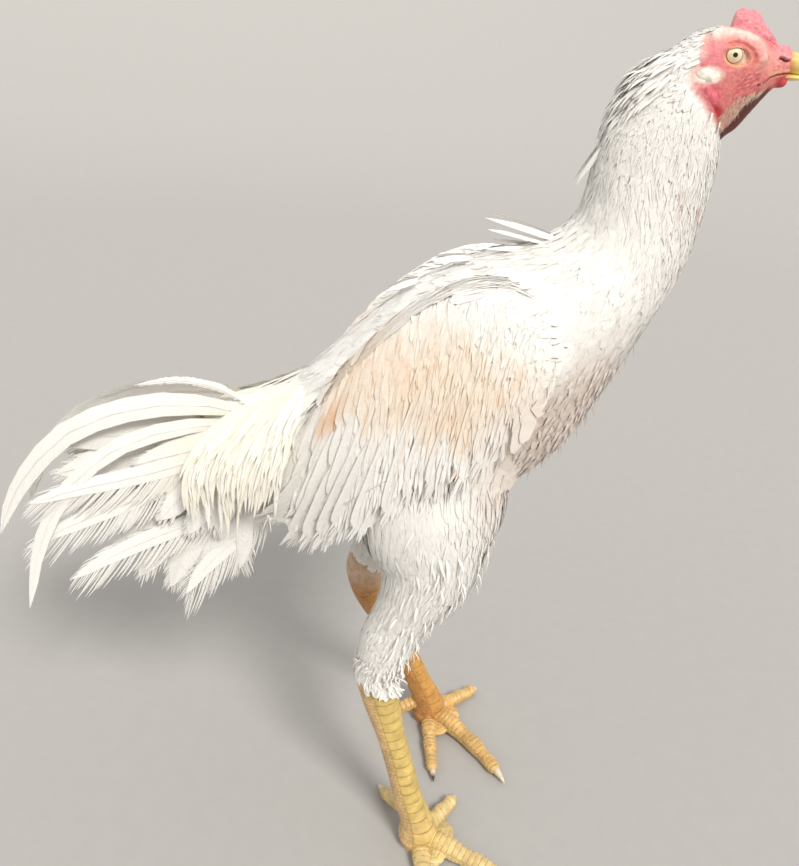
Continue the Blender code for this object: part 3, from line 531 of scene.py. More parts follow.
class Look:
    """One procedural material, with short calls for its nodes."""

    def __init__(self, name, roughness, **settings):
        self.material = bpy.data.materials.new(name)
        self.material.use_nodes = True
        self.tree = self.material.node_tree
        self.shader = self.tree.nodes["Principled BSDF"]
        self.shader.inputs["Roughness"].default_value = roughness
        for key, value in settings.items():
            self.shader.inputs[key.replace("_", " ")].default_value = value

    def node(self, kind, inputs=(), **settings):
        item = self.tree.nodes.new("ShaderNode" + kind)
        for key, value in settings.items():
            setattr(item, key, value)
        for key, value in dict(inputs).items():
            self.put(item.inputs[key], value)
        return item

    def put(self, socket, value):
        if isinstance(value, bpy.types.NodeSocket):
            self.tree.links.new(value, socket)
        else:
            socket.default_value = value

    def set(self, name, value):
        self.put(self.shader.inputs[name], value)

    def maths(self, operation, a, b=0.0):
        return self.node("Math", {0: a, 1: b}, operation=operation).outputs[0]

    def attribute(self, name, output="Color"):
        return self.node("Attribute", attribute_name=name).outputs[output]

    def place(self):
        return self.node("TexCoord").outputs["Object"]

    def noise(self, scale, detail=3.0, vector=None):
        inputs = {"Scale": scale, "Detail": detail, "Vector": vector or self.place()}
        return self.node("TexNoise", inputs).outputs[0]

    def cells(self, scale):
        return self.node("TexVoronoi", {"Scale": scale, "Vector": self.place()}).outputs[0]

    def between(self, value, low, high, new_low=0.0, new_high=1.0):
        inputs = {0: value, 1: low, 2: high, 3: new_low, 4: new_high}
        return self.node("MapRange", inputs, clamp=True).outputs[0]

    def mix(self, factor, a, b, blend="MIX"):
        item = self.node("Mix", data_type="RGBA", blend_type=blend)
        for index, value in ((0, factor), (6, a), (7, b)):
            if isinstance(value, tuple) and len(value) == 3:
                value = (*value, 1.0)
            self.put(item.inputs[index], value)
        return item.outputs[2]

    def colour(self):
        """What the base colour is linked to so far."""
        return self.shader.inputs["Base Color"].links[0].from_socket

    def shaded(self, colour, shade):
        """A colour made lighter or darker by a factor that varies over the surface."""
        grey = self.node("CombineColor", {0: shade, 1: shade, 2: shade}).outputs[0]
        return self.mix(1.0, colour, grey, "MULTIPLY")

    def roughen(self, height, distance, strength):
        """Small relief from a height that varies over the surface."""
        inputs = {"Height": height, "Distance": distance, "Strength": strength}
        self.set("Normal", self.node("Bump", inputs).outputs[0])


def feather_look():
    """Plumage: the tint of the feather, its slanting barbs and a soft sheen."""
    look = Look("plumage", 0.60, Sheen_Weight=0.35, Sheen_Roughness=0.4, Specular_IOR_Level=0.25,
                Subsurface_Weight=0.12, Subsurface_Scale=0.0015)
    look.shader.inputs["Subsurface Radius"].default_value = (1.0, 0.92, 0.82)
    spot = look.node("SeparateXYZ", {0: look.node("UVMap", uv_map="vane").outputs[0]})
    across = look.maths("ABSOLUTE", spot.outputs[0])
    slant = look.maths("SUBTRACT", spot.outputs[1], look.maths("MULTIPLY", across, 0.9))
    wobble = look.maths("MULTIPLY", look.noise(260.0, 2.0), BARB_PITCH * 3)
    phase = look.maths("MULTIPLY", look.maths("ADD", slant, wobble), 2 * math.pi / BARB_PITCH)
    barbs = look.maths("SINE", phase)
    grain = look.node("CombineXYZ", {0: look.maths("MULTIPLY", slant, 9.0), 1: spot.outputs[0]})
    clump = look.noise(90.0, 3.0, grain.outputs[0])
    height = look.maths("ADD", look.maths("MULTIPLY", barbs, 0.25), look.maths("MULTIPLY", clump, 1.6))
    shade = look.between(height, 0.3, 1.3, 0.90, 1.04)
    look.set("Base Color", look.shaded(look.attribute("tint"), shade))
    look.roughen(height, 0.00022, 0.7)
    return look.material


def skin_look():
    """Bare skin: its tint, fine folds, pebbles and blotches, with some light inside."""
    look = Look("skin", 0.48, Subsurface_Weight=0.18, Subsurface_Scale=0.002)
    look.shader.inputs["Subsurface Radius"].default_value = (1.0, 0.35, 0.2)
    look.shader.subsurface_method = "RANDOM_WALK"
    blotch = look.between(look.noise(420.0, 4.0), 0.35, 0.65, 0.82, 1.12)
    colour = look.shaded(look.attribute("tint"), blotch)
    pores = look.cells(2100.0)
    dark = look.mix(look.between(pores, 0.0, 0.35, 0.28, 0.0), colour, (0.25, 0.03, 0.02))
    look.set("Base Color", dark)
    folds = look.noise(900.0, 3.0)
    height = look.maths("ADD", folds, look.maths("MULTIPLY", pores, 0.7))
    look.roughen(height, 0.00025, 0.7)
    return look.material


# Stage


def make_camera():
    """The photograph's view: tilted down, rolled a little, its centre shifted up."""
    ahead = Vector((0, math.cos(CAMERA_TILT), -math.sin(CAMERA_TILT)))
    level = Vector((1, 0, 0))
    above = level.cross(ahead)
    right = level * math.cos(CAMERA_ROLL) + above * math.sin(CAMERA_ROLL)
    up = above * math.cos(CAMERA_ROLL) - level * math.sin(CAMERA_ROLL)
    data = bpy.data.cameras.new("camera")
    data.sensor_width = SENSOR
    data.sensor_fit = "AUTO"
    data.lens = CAMERA_FOCUS / PHOTO_HIGH * SENSOR
    data.shift_y = (CAMERA_CENTRE_ROW - PHOTO_HIGH / 2) / PHOTO_HIGH
    matrix = Matrix((right, up, -ahead)).transposed().to_4x4()
    matrix.translation = Vector(CAMERA_PLACE) + Vector(SHIFT)
    item = placed("camera", data)
    item.matrix_world = matrix
    bpy.context.scene.camera = item


def make_sun(name, place, power, spread, colour):
    """A soft distant light that shines from the given direction."""
    data = bpy.data.lights.new(name, "SUN")
    data.energy = power
    data.angle = spread
    data.color = colour
    placed(name, data).rotation_euler = Vector(place).to_track_quat("Z", "Y").to_euler()


def make_stage():
    """A pale floor that rises softly all round, far off, with a key light and a fill."""
    look = Look("floor", 0.8)
    speck = look.between(look.noise(60.0, 6.0), 0.3, 0.7, 0.98, 1.01)
    look.set("Base Color", look.shaded(FLOOR_COLOUR, speck))
    turns = ring_turns(FLOOR_SIDES)
    rings = []
    for t in np.linspace(0, 1, FLOOR_RINGS):
        reach = FLOOR_REACH * (0.001 + 0.999 * t)
        height = FLOOR_RISE * max(0.0, (t - FLOOR_FLAT) / (1 - FLOOR_FLAT)) ** 2
        rings.append(np.stack([reach * np.cos(turns), reach * np.sin(turns),
                               np.full_like(turns, height)], axis=1))
    points, faces = tube(rings)
    floor = mesh_object("floor", points, [faces[0][:, ::-1], faces[1][:, ::-1]], look.material,
                        moved=False)
    make_sun("key", (0.50, -0.88, 1.10), KEY_POWER, 0.30, (1.0, 0.97, 0.92))
    make_sun("fill", (-0.9, -1.0, 0.45), FILL_POWER, 1.2, (1.0, 0.98, 0.96))
    world = bpy.data.worlds.new("studio")
    world.use_nodes = True
    world.node_tree.nodes["Background"].inputs["Color"].default_value = (1.0, 0.985, 0.965, 1)
    world.node_tree.nodes["Background"].inputs["Strength"].default_value = WORLD_POWER
    bpy.context.scene.world = world
    view = bpy.context.scene.view_settings
    view.view_transform = "Standard"
    view.look = "None"
    view.exposure = 0.0


# Skin


def loft(first, last, step, sides, surface):
    """A closed tube through rings of a surface, from one section to another."""
    places = np.arange(first, last + step / 2, step)
    place, turn = np.meshgrid(places, ring_turns(sides), indexing="ij")
    return tube(surface(place.ravel(), turn.ravel()).reshape(len(places), sides, 3))


def body_loft(first, last, step, sides, tuck=None):
    """The body between two sections, sunk by the depth of the coat.

    Between the two places of tuck it sinks more, under the skin that goes on."""
    def surface(place, turn):
        depth = np.interp(place, COAT_PLACES, COAT_DEPTHS)
        if tuck:
            depth = depth + TUCK_DEPTH * step_up(*tuck, place)
        return body_surface(place, turn, -depth)

    return loft(first, last, step, sides, surface)


def wing_core(sign):
    """The folded wing under its coat."""
    rings = []
    for row in curve_rows(WING_ROWS, np.linspace(0, len(WING_ROWS) - 1, 25)):
        top = row[0:3] * [1, sign, 1]
        low = row[3:6] * [1, sign, 1]
        up = unit(top - low)
        out = unit(LEFT * sign - up * up[1] * sign)
        long_half = np.linalg.norm(top - low) / 2 - WING_COAT
        thick = max(row[6] - WING_COAT, 0.002)
        rings.append([(top + low) / 2 + up * (long_half * math.cos(t)) + out * (thick * math.sin(t))
                      for t in ring_turns(WING_SIDES)])
    return tube(rings)


def leg_loft(side, first, last, step, lift):
    """A leg between two sections, with one lift above the hock and one below it."""
    def surface(place, turn):
        return leg_surface(side, place, turn, np.interp(place, HOCK_PLACES, lift))

    return loft(first, last, step, LEG_SIDES, surface)


def body_skin():
    """Trunk, neck, thighs and wings as one surface under the coat."""
    parts = [body_loft(5.4, BODY_END, 0.2, BODY_SIDES)]
    for side, sign in SIDES.items():
        parts.append(wing_core(sign))
        parts.append(leg_loft(side, 0, 7.6, 0.2, (-THIGH_COAT, -THIGH_COAT)))
    return fused("skin_body", parts, BODY_VOXEL, 6)


def comb_shape():
    """The comb's mound: rounded slices from its root in the crown up to its outline."""
    x, top = np.array(COMB_TOP).T
    crown = line_height([row[:2] for row in HEAD_ROWS], x)
    low = np.minimum(crown, top) - COMB_ROOT
    half = line_height(COMB_HALF, x)
    turns = ring_turns(COMB_SIDES)
    rings = []
    for k in range(len(x)):
        y = half[k] * np.sin(turns) * (1 - 0.22 * np.cos(turns))
        z = (top[k] + low[k]) / 2 + (top[k] - low[k]) / 2 * np.cos(turns)
        rings.append(np.stack([np.full_like(turns, x[k]), y, z], axis=1))
    return tube(rings)


def line_gap(points, line):
    """Distance of each point from a line of the face, seen from the side."""
    spot = points[:, [0, 2]]
    line = np.array(line)
    best = np.full(len(spot), 1.0)
    for a, b in zip(line[:-1], line[1:]):
        t = np.clip((spot - a) @ (b - a) / ((b - a) @ (b - a)), 0, 1)
        best = np.minimum(best, np.linalg.norm(spot - a - t[:, None] * (b - a), axis=1))
    return best


def ridge(points, line, half):
    """1 on a line of the face, falling softly to 0 away from it."""
    return np.exp(-(line_gap(points, line) / half) ** 2)


def eye_measure(points):
    """0 in the middle of the eye's opening, 1 on its rim."""
    x = points[:, 0] - EYE_OPENING[0]
    z = points[:, 2] - EYE_OPENING[1]
    c, s = math.cos(EYE_OPENING_TURN), math.sin(EYE_OPENING_TURN)
    return np.hypot((x * c - z * s) / EYE_OPENING_HALF[0], (z * c + x * s) / EYE_OPENING_HALF[1])


def below_line(points, line):
    """How far below a line of the face each point lies, in metres."""
    return line_height(line, points[:, 0]) - points[:, 2]


def creases(points, size, seed, turn=0.6, stretch=4.0):
    """Noise drawn out into slanting creases, from -1 to 1."""
    c, s = math.cos(turn), math.sin(turn)
    along = (points[:, 0] * c + points[:, 2] * s) / stretch
    across = points[:, 2] * c - points[:, 0] * s
    spot = np.stack([along, points[:, 1] / stretch, across], axis=1)
    return 2 * np.abs(2 * smooth_noise(spot, size, seed) - 1) - 1


def carve_face(points, normals):
    """Brows, folds, mouth, nostrils, wrinkles and the lids round each eye's opening."""
    bare = face_mask(points)
    sideways = step_up(0.15, 0.5, np.abs(normals[:, 1]))
    cheek = oval(points, (0.2130, 0.6300), (0.0120, 0.0085), 0.5, 0.6)
    lobe = oval(points, (0.1862, 0.6205), (0.0095, 0.0100), 0.4, 0.4)
    comb = step_up(0.0, 0.003, -below_line(points, COMB_FOOT))
    cere = oval(points, (0.2340, 0.6480), (0.0090, 0.0080), 0.0, 0.5)
    lift = 0.0019 * ridge(points, BROW_LINE, 0.0026)
    lift = lift - 0.0014 * ridge(points, FOLD_LINE, 0.0013) * step_up(0.189, 0.200, points[:, 0])
    lift = lift - 0.0013 * ridge(points, MOUTH_LINE, 0.0006)
    lift = lift + 0.0006 * ridge(points, np.array(MOUTH_LINE) + [0.0003, 0.0016], 0.0010)
    lift = lift - 0.0022 * ridge(points, NOSTRIL_LINE, 0.00065)
    lift = lift + 0.0009 * ridge(points, np.array(NOSTRIL_LINE) + [0, 0.0019], 0.0012)
    lift = lift * sideways
    lift = lift + 0.00045 * cheek * creases(points, 0.0011, 21) * sideways
    lift = lift + 0.00050 * lobe * creases(points, 0.0013, 22, 1.9, 5.0) * sideways
    pebbles = 2 * smooth_noise(points, 0.0013, 23) - 1
    lift = lift + pebbles * (0.00012 + 0.00022 * comb + 0.00010 * cheek + 0.00015 * cere)
    points = points + normals * (lift * bare)[:, None]
    away = np.abs(points[:, 1])
    around = points[:, [0, 2]] - np.array([EYE_PLACE[0], EYE_PLACE[2]])
    ball = EYE_PLACE[1] + np.sqrt(np.maximum(EYE_RADIUS ** 2 - (around ** 2).sum(axis=1), 0))
    inner = np.maximum(ball - 0.0012, EYE_CORNER)
    rim = np.maximum(ball, EYE_CORNER) + LID_THICKNESS
    reach = eye_measure(points)
    target = inner + (rim - inner) * step_up(0.93, 1.09, reach)
    lids = (1 - step_up(1.08, 1.32, reach)) * (away > 0.008)
    points[:, 1] = np.sign(points[:, 1]) * (away + (target - away) * lids)
    return points


def head_skin():
    """The bare head with comb, brows, lobes, lids and nostrils."""
    parts = [body_loft(0, 6.6, 0.15, HEAD_SIDES, HEAD_TUCK), egg(*CHIN_BULB), comb_shape()]
    for sign in (1, -1):
        parts.append(egg(EYE_PLACE, (LID_RADIUS,) * 3, 0, sign, 24, 32))
        parts += [egg(*bulb, sign) for bulb in FACE_BULBS]
        for x, z in COMB_BEADS:
            parts.append(egg((x, COMB_BEAD[0], z), (COMB_BEAD[1],) * 3, 0, sign))
    head = fused("skin_head", parts, HEAD_VOXEL, 9)
    write_points(head.data, carve_face(read_points(head.data), read_normals(head.data)))
    return smoothed(head, 0.4, 1)


def border_at(heights):
    """Where the feathers end and the bare face begins, at many heights."""
    x, z = np.array(FACE_BORDER[::-1]).T
    return np.interp(heights, z, x)


def face_mask(points, soft=0.0030):
    """How far a point lies in front of the feather border: 0 under feathers, 1 bare."""
    return step_up(-0.4 * soft, 0.6 * soft, points[:, 0] - border_at(points[:, 2]))


COMB_FOOT = [
    (0.1900, 0.6700), (0.1990, 0.6645), (0.2074, 0.6630), (0.2151, 0.6602), (0.2200, 0.6572),
    (0.2271, 0.6545), (0.2321, 0.6518), (0.2440, 0.6500),
]
FACE_PINK = (0.70, 0.22, 0.20)
FACE_TINTS = [
    ((0.1840, 0.6470), (0.0110, 0.0110), 0.0, (0.72, 0.20, 0.22)),
    ((0.2250, 0.6450), (0.0100, 0.0070), 0.4, (0.74, 0.29, 0.25)),
    ((0.2130, 0.6300), (0.0110, 0.0075), 0.5, (0.70, 0.20, 0.20)),
    ((0.1862, 0.6205), (0.0100, 0.0100), 0.4, (0.68, 0.14, 0.17)),
    ((0.1940, 0.6110), (0.0060, 0.0050), 0.9, (0.52, 0.045, 0.055)),
    ((0.2345, 0.6510), (0.0075, 0.0055), 0.0, (0.72, 0.27, 0.28)),
    ((0.2372, 0.6340), (0.0052, 0.0045), 0.0, (0.62, 0.06, 0.065)),
    ((0.1836, 0.6344), (0.0086, 0.0050), 0.1, (0.90, 0.85, 0.74)),
]
BROW_TINT = (0.84, 0.60, 0.52)
# Painted shade in the crease over the eye, laid on the redder skin there.
FOLD_SHADE_TINT = (0.56, 0.14, 0.10)
LID_TINT = (0.76, 0.47, 0.24)
LASH_TINT = (0.55, 0.26, 0.10)
CORNER_TINT = (0.80, 0.56, 0.50)
COMB_TINT = (0.74, 0.25, 0.28)
PEBBLE_TINT = (0.60, 0.09, 0.11)
GAPE_TINT = (0.72, 0.38, 0.14)
DOWNY_TINT = (0.86, 0.66, 0.58)
# Painted shade for the inside of the mouth's slit and the nostrils.
SLIT_SHADE_TINT = (0.20, 0.02, 0.015)
# Dark red throat skin, darkened further with painted shade under the jaw.
THROAT_SHADE_TINT = (0.11, 0.012, 0.008)


def blend_to(colours, amount, target):
    """Colours moved towards one colour by an amount from 0 to 1 at each point."""
    return colours + (np.array(target) - colours) * np.clip(amount, 0, 1)[:, None]


def face_colours(points):
    """Colours of the bare head: pink face, pale brow, orange lids, red lobes and folds, with painted
    shade in the fold over the eye, the slits, the wrinkles and the throat.
    """
    face = np.tile(FACE_PINK, (len(points), 1))
    spots = smooth_noise(points, 0.0016, 5)
    fine = smooth_noise(points, 0.0008, 6)
    for centre, half, turn, tint in FACE_TINTS:
        face = blend_to(face, oval(points, centre, half, turn, 0.45), tint)
    lines = 0.5 + 0.5 * creases(points, 0.0011, 21)
    cheek = oval(points, (0.2130, 0.6290), (0.0135, 0.0100), 0.5, 0.5)
    # Painted shade in the cheek's wrinkles: darker red where the creases sink.
    face = blend_to(face, cheek * step_up(0.55, 0.15, lines) * 0.55, (0.52, 0.09, 0.09))
    pale = ridge(points, BROW_LINE, 0.0034) * (0.35 + 0.6 * step_up(0.2180, 0.2080, points[:, 0]))
    face = blend_to(face, pale, BROW_TINT)
    # Painted shade in the crease over the eye, on top of its redder skin.
    fold = ridge(points, FOLD_LINE, 0.0020) * step_up(0.187, 0.199, points[:, 0])
    face = blend_to(face, fold * 0.8, FOLD_SHADE_TINT)
    reach = eye_measure(points)
    side = np.abs(points[:, 1]) > 0.008
    lids = (1 - step_up(1.10, 1.30, reach)) * side
    lower = step_up(0.0010, -0.0020, points[:, 2] - EYE_OPENING[1])
    face = blend_to(face, lids * (0.25 + 0.75 * lower), LID_TINT)
    lash = np.exp(-((reach - 1.04) / 0.07) ** 2) * side
    face = blend_to(face, lash * 0.45, LASH_TINT)
    corner = step_up(1.0, 0.93, reach) * side
    face = blend_to(face, corner, CORNER_TINT)
    gape = ridge(points, np.array(MOUTH_LINE[3:]) + [0, 0.0011], 0.0011)
    face = blend_to(face, gape * 0.8, GAPE_TINT)
    # Painted shade inside the mouth's slit and the nostrils.
    face = blend_to(face, ridge(points, MOUTH_LINE, 0.00055) * 0.8, SLIT_SHADE_TINT)
    face = blend_to(face, ridge(points, NOSTRIL_LINE, 0.00065), SLIT_SHADE_TINT)
    # Painted shade under the jaw over the throat's dark red skin.
    jaw = step_up(-0.0052, -0.0022, below_line(points, FRINGE_LOW)) * step_up(0.234, 0.228, points[:, 0])
    face = blend_to(face, jaw, THROAT_SHADE_TINT)
    comb = step_up(-0.0004, 0.0012, -below_line(points, COMB_FOOT))
    beads = oval(points, (0.2262, 0.6590), (0.0055, 0.0038), 0.6, 0.6) * step_up(0.35, 0.6, fine)
    face = blend_to(face, comb, COMB_TINT)
    face = blend_to(face, beads * 0.8, PEBBLE_TINT)
    downy = 1 - step_up(-0.001, 0.0075, points[:, 0] - border_at(points[:, 2]) - 0.003 * (fine - 0.5))
    face = blend_to(face, downy * (1 - jaw) * 0.75, DOWNY_TINT)
    return face * (0.90 + 0.20 * spots)[:, None]


def skin_colours(points):
    """Colour of the skin at many points: the bare face and the skin under the coat."""
    colours = plumage_colours(points)
    face = face_colours(points)
    return colours + (face - colours) * face_mask(points)[:, None]


# Plumage colour

WHITE = (0.92, 0.895, 0.85)
CREAM = (0.91, 0.85, 0.70)
PEACH = (0.86, 0.69, 0.52)
RUST = (0.80, 0.50, 0.28)
# Beige of the lower breast, partly the bare keel's own tone and partly painted shade.
SHADED_BEIGE = (0.70, 0.57, 0.48)
ACCENT_PLACE = (-0.036, 0.386)
NECK_STREAK = (0.62, 0.34, 0.22)


def oval(points, centre, half, turn=0.0, soft=0.5):
    """Closeness to an oval seen from the side: x and z only."""
    x = points[:, 0] - centre[0]
    z = points[:, 2] - centre[1]
    c, s = math.cos(turn), math.sin(turn)
    distance = np.hypot((x * c + z * s) / half[0], (z * c - x * s) / half[1])
    return 1 - step_up(1 - soft, 1 + soft, distance)


def plumage_colours(points):
    """White with a cream saddle and tail root, a peach wing patch, rusty streaks and a beige lower
    breast that is partly painted shade.
    """
    points = np.asarray(points, float)
    uneven = smooth_noise(points, 0.018, 1)
    fine = smooth_noise(points * [1, 1, 0.3], 0.0045, 2)
    tall = smooth_noise(points * [1, 1, 0.35], 0.009, 6)
    colours = np.tile(WHITE, (len(points), 1))
    saddle = oval(points, (-0.115, 0.345), (0.060, 0.034), 0.25, 0.6)
    colours = blend_to(colours, saddle * (0.25 + 0.65 * uneven), CREAM)
    side = step_up(0.030, 0.055, np.abs(points[:, 1]))
    ragged = points + np.array([[0, 0, 0.034]]) * (tall - 0.5)[:, None]
    patch = oval(ragged, (0.016, 0.420), (0.074, 0.034), 0.16, 0.45) * side
    colours = blend_to(colours, patch * (0.55 + 0.45 * tall), PEACH)
    streak = step_up(0.66, 0.84, fine) * patch
    colours = blend_to(colours, streak * 0.45, RUST)
    accent = oval(points, ACCENT_PLACE, (0.0045, 0.020), -0.4, 0.5) * side
    colours = blend_to(colours, accent * (0.4 + 0.6 * fine), RUST)
    # Beige in the hollow between wing and breast: partly the bare keel's tone, partly painted shade.
    breast = oval(points, (0.126, 0.385), (0.044, 0.072), -0.55, 0.55)
    colours = blend_to(colours, breast * 0.85, SHADED_BEIGE)
    neck = step_up(0.63, 0.56, points[:, 2]) * step_up(0.48, 0.52, points[:, 2])
    streaks = step_up(0.72, 0.86, smooth_noise(points * [1, 1, 0.3], 0.0035, 3)) * neck
    front = step_up(0.165, 0.190, points[:, 0])
    return blend_to(colours, streaks * front * 0.5, NECK_STREAK)


# Feathers


class Ground:
    """The skin as a surface that feathers are set on and follow."""

    def __init__(self, item):
        mesh = item.data
        corners = read_corners(mesh).reshape(-1, 4)
        self.tree = BVHTree.FromPolygons(read_points(mesh).tolist(), corners.tolist())
        self.normals = unit(read_normals(mesh)[corners].sum(axis=1))

    def nearest(self, points):
        """The nearest places on the skin, their smooth normals and the distances."""
        found = [self.tree.find_nearest(point) for point in np.asarray(points).tolist()]
        places = np.array([hit[0] for hit in found])
        index = np.array([hit[2] for hit in found])
        return places, self.normals[index], np.linalg.norm(places - points, axis=1)


def flat_on(vectors, normals):
    """Directions laid flat on a surface."""
    return unit(vectors - normals * np.sum(vectors * normals, axis=-1, keepdims=True))


class Style:
    """How one kind of feather is built."""

    def __init__(self, steps, widths, columns=5, camber=0.08, thick=0.00030, rough=0.06,
                 fray=0.35, tilt=0.0):
        self.steps = np.array(steps)
        self.widths = np.array(widths)
        self.columns = np.linspace(-1, 1, columns)
        self.camber = camber
        self.thick = thick
        self.rough = rough
        self.fray = fray
        self.tilt = tilt


ROUND = Style([0, 0.2, 0.42, 0.62, 0.79, 0.91, 1.0],
              [0.45, 0.80, 1.0, 1.0, 0.88, 0.66, 0.30])
SMALL = Style([0, 0.35, 0.68, 0.90, 1.0], [0.60, 1.0, 0.86, 0.45, 0.05], columns=3)
WISP = Style([0, 0.4, 0.75, 1.0], [1.0, 0.9, 0.6, 0.08], columns=2, thick=0.0002)
HACKLE = Style([0, 0.22, 0.45, 0.65, 0.82, 0.94, 1.0],
               [0.55, 0.90, 1.0, 0.85, 0.56, 0.25, 0.04], columns=3)
TUFT = Style([0, 0.3, 0.6, 0.85, 1.0], [0.5, 1.0, 0.9, 0.5, 0.06], columns=3, rough=0.15)
FLUFF = Style([0, 0.25, 0.5, 0.75, 0.92, 1.0], [0.5, 0.9, 1.0, 0.95, 0.7, 0.3], columns=3,
              camber=0.04, rough=0.12)
# The width of one feather's patch on the bake map, and how high a feather may bridge a hollow.
BAKE_PATCH = 0.003
BRIDGE = 0.007
# Roots farther than this from the skin lie inside a wing or a thigh and are left out.
NEAR_SKIN = 0.0055
# How far roots stray from even rows, as a share of their spacing.
LOOSENESS = 0.25
# A short step between sections, and the number of points that measure a row.
SHORT_STEP = 0.05
ROW_POINTS = 60


def blades(paths, normals, half, style, chance):
    """Closed blades along many spines at once, with each point's place on its blade."""
    count, rows = paths.shape[:2]
    along = unit(np.gradient(paths, axis=1))
    face = flat_on(normals, along)
    across = np.cross(face, along)
    wide = half[:, None] * style.widths[None, :]
    columns = style.columns
    ragged = 1 + style.rough * chance.standard_normal((count, rows, 2)) * (style.widths < 0.9)[:, None]
    points = np.empty((count, rows, len(columns) + 1, 3))
    spots = np.empty((count, rows, len(columns) + 1, 2))
    soft = np.empty_like(points)
    open_tip = step_up(0.72, 1.0, style.steps)[None, :]
    lengths = np.cumsum(np.linalg.norm(np.diff(paths, axis=1), axis=2), axis=1)
    lengths = np.concatenate([np.zeros((count, 1)), lengths], axis=1)
    for k, column in enumerate(columns):
        reach = wide * column
        if abs(column) == 1:
            reach = reach * ragged[..., 0 if column < 0 else 1]
        drop = style.tilt * wide * column - style.camber * wide * column ** 2
        points[:, :, k] = paths + across * reach[..., None] + face * drop[..., None]
        torn = style.fray * half[:, None] * chance.uniform(-1, 0.6, (count, 1)) * open_tip
        points[:, :, k] += along * torn[..., None]
        soft[:, :, k] = face + across * (0.6 * style.camber * column)
        spots[:, :, k] = np.stack([reach, lengths], axis=-1)
    under = style.camber * wide * 0.3 + style.thick * np.minimum(1, half / 0.002)[:, None]
    under = np.minimum(under, wide * 0.6)
    points[:, :, -1] = paths - face * under[..., None]
    spots[:, :, -1] = np.stack([np.zeros_like(lengths), lengths], axis=-1)
    soft[:, :, -1] = face
    return points, spots, unit(soft)


def blade_faces(count, rows, columns):
    """Faces of many closed blades: the top, the two under sides and the two ends."""
    wide = columns + 1
    base = (np.arange(count) * rows * wide)[:, None, None]
    row = (np.arange(rows - 1) * wide)[None, :, None]
    top = np.arange(columns - 1)[None, None, :]
    near = base + row + top
    upper = np.stack([near, near + 1, near + 1 + wide, near + wide], axis=-1).reshape(-1, 4)
    left = (base + row)[..., 0]
    right = left + columns - 1
    under = left + columns
    low_left = np.stack([left, left + wide, under + wide, under], axis=-1).reshape(-1, 4)
    low_right = np.stack([under, under + wide, right + wide, right], axis=-1).reshape(-1, 4)
    start = (np.arange(count) * rows * wide)[:, None]
    k = np.arange(columns - 1)[None, :]
    root = np.stack([start + columns + 0 * k, start + k, start + k + 1], axis=-1)
    tip = root[..., [0, 2, 1]] + (rows - 1) * wide
    sides = np.concatenate([upper, low_left, low_right])
    return [sides[:, ::-1], np.concatenate([root, tip]).reshape(-1, 3)]


class Coat:
    """Feathers of one piece, gathered and then built as one joined mesh."""

    def __init__(self, name, material):
        self.name = name
        self.material = material
        self.parts = []

    def add(self, paths, normals, half, style, spots, tints, chance, painted_root_shade=0.05):
        """Feathers along paths, with their places on the bake map and their colours, darker towards the
        root as painted shade.
        """
        points, vane, soft = blades(paths, normals, half, style, chance)
        count, rows, wide = points.shape[:3]
        length = vane[:, -1:, -1:, 1:]
        near = vane / np.maximum(length, 1e-6)
        patch = np.stack([vane[..., 0] / (2 * half[:, None, None]), near[..., 1]], axis=-1)
        bake = spots[:, None, None, :] + (patch - [0.0, 0.5]) * BAKE_PATCH
        # Painted shade: each feather darkens towards its root, where the feathers over it cover it.
        shade = 1 - painted_root_shade * (1 - step_up(0.0, 0.7, near[..., 1]))
        tints = tints[:, None, None, :] if tints.ndim == 2 else tints[:, :, None, :]
        colours = np.broadcast_to(tints, points.shape) * shade[..., None]
        faces = blade_faces(count, rows, wide - 1)
        self.parts.append((points, faces, vane, bake, colours, soft))

    def build(self):
        points, faces = joined([(part[0], part[1]) for part in self.parts])
        item = mesh_object(self.name, points, faces, self.material)
        vane, bake, tints, soft = (
            np.concatenate([part[k].reshape(-1, part[k].shape[-1]) for part in self.parts])
            for k in range(2, 6))
        set_map(item.data, "vane", vane)
        set_map(item.data, "OFBake", bake)
        set_tints(item.data, tints)
        soften(item.data, soft)
        finish_piece(item)


def soften(mesh, wanted):
    """Shade both faces of every blade by one smooth direction, so no edge shows hard."""
    totals = read_all(mesh.polygons, "loop_total", kind=np.int32)
    faces = np.repeat(read_all(mesh.polygon_normals, "vector", 3), totals, axis=0)
    normals = wanted[read_corners(mesh)]
    facing = np.sum(faces * normals, axis=1)
    normals = np.where(facing[:, None] < 0, -normals, normals)
    normals = np.where(np.abs(facing)[:, None] < 0.2, faces, normals)
    mesh.normals_split_custom_set(normals.tolist())


def finish_piece(item, nodes=()):
    """What the piece moves with and the solids it stands in for."""
    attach(item, "root")
    if nodes:
        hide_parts(*nodes)


def staggered(first, last, low, high, gap_along, gap_across, surface, chance):
    """Places in shifted rows over a patch of a surface, evenly spaced in metres.

    surface reads a place and a side measure; gap_along and gap_across give the wanted
    spacing there."""
    spots = []
    place = first
    row_number = 0
    while place < last:
        tested = np.linspace(low, high, ROW_POINTS)
        line = surface(np.full_like(tested, place), tested)
        beyond = surface(np.full_like(tested, place + SHORT_STEP), tested)
        per_place = np.median(np.linalg.norm(beyond - line, axis=1)) / SHORT_STEP
        steps = np.linalg.norm(np.diff(line, axis=0), axis=1)
        gaps = np.array([gap_across(place, t) for t in (tested[1:] + tested[:-1]) / 2])
        reach = np.concatenate([[0], np.cumsum(steps / gaps)])
        wanted = np.arange(0.25 + 0.5 * (row_number % 2), reach[-1], 1.0)
        wanted = wanted + chance.uniform(-LOOSENESS, LOOSENESS, len(wanted))
        sides = np.interp(wanted, reach, tested)
        step = gap_along(place) / per_place
        places = place + chance.uniform(-LOOSENESS, LOOSENESS, len(sides)) * step
        spots.append(np.stack([places, sides], axis=1))
        place += step
        row_number += 1
    return np.concatenate(spots)


def risen(steps):
    """Height along a feather: quick from the root, then level to the tip."""
    return 1 - (1 - steps) ** 2.2


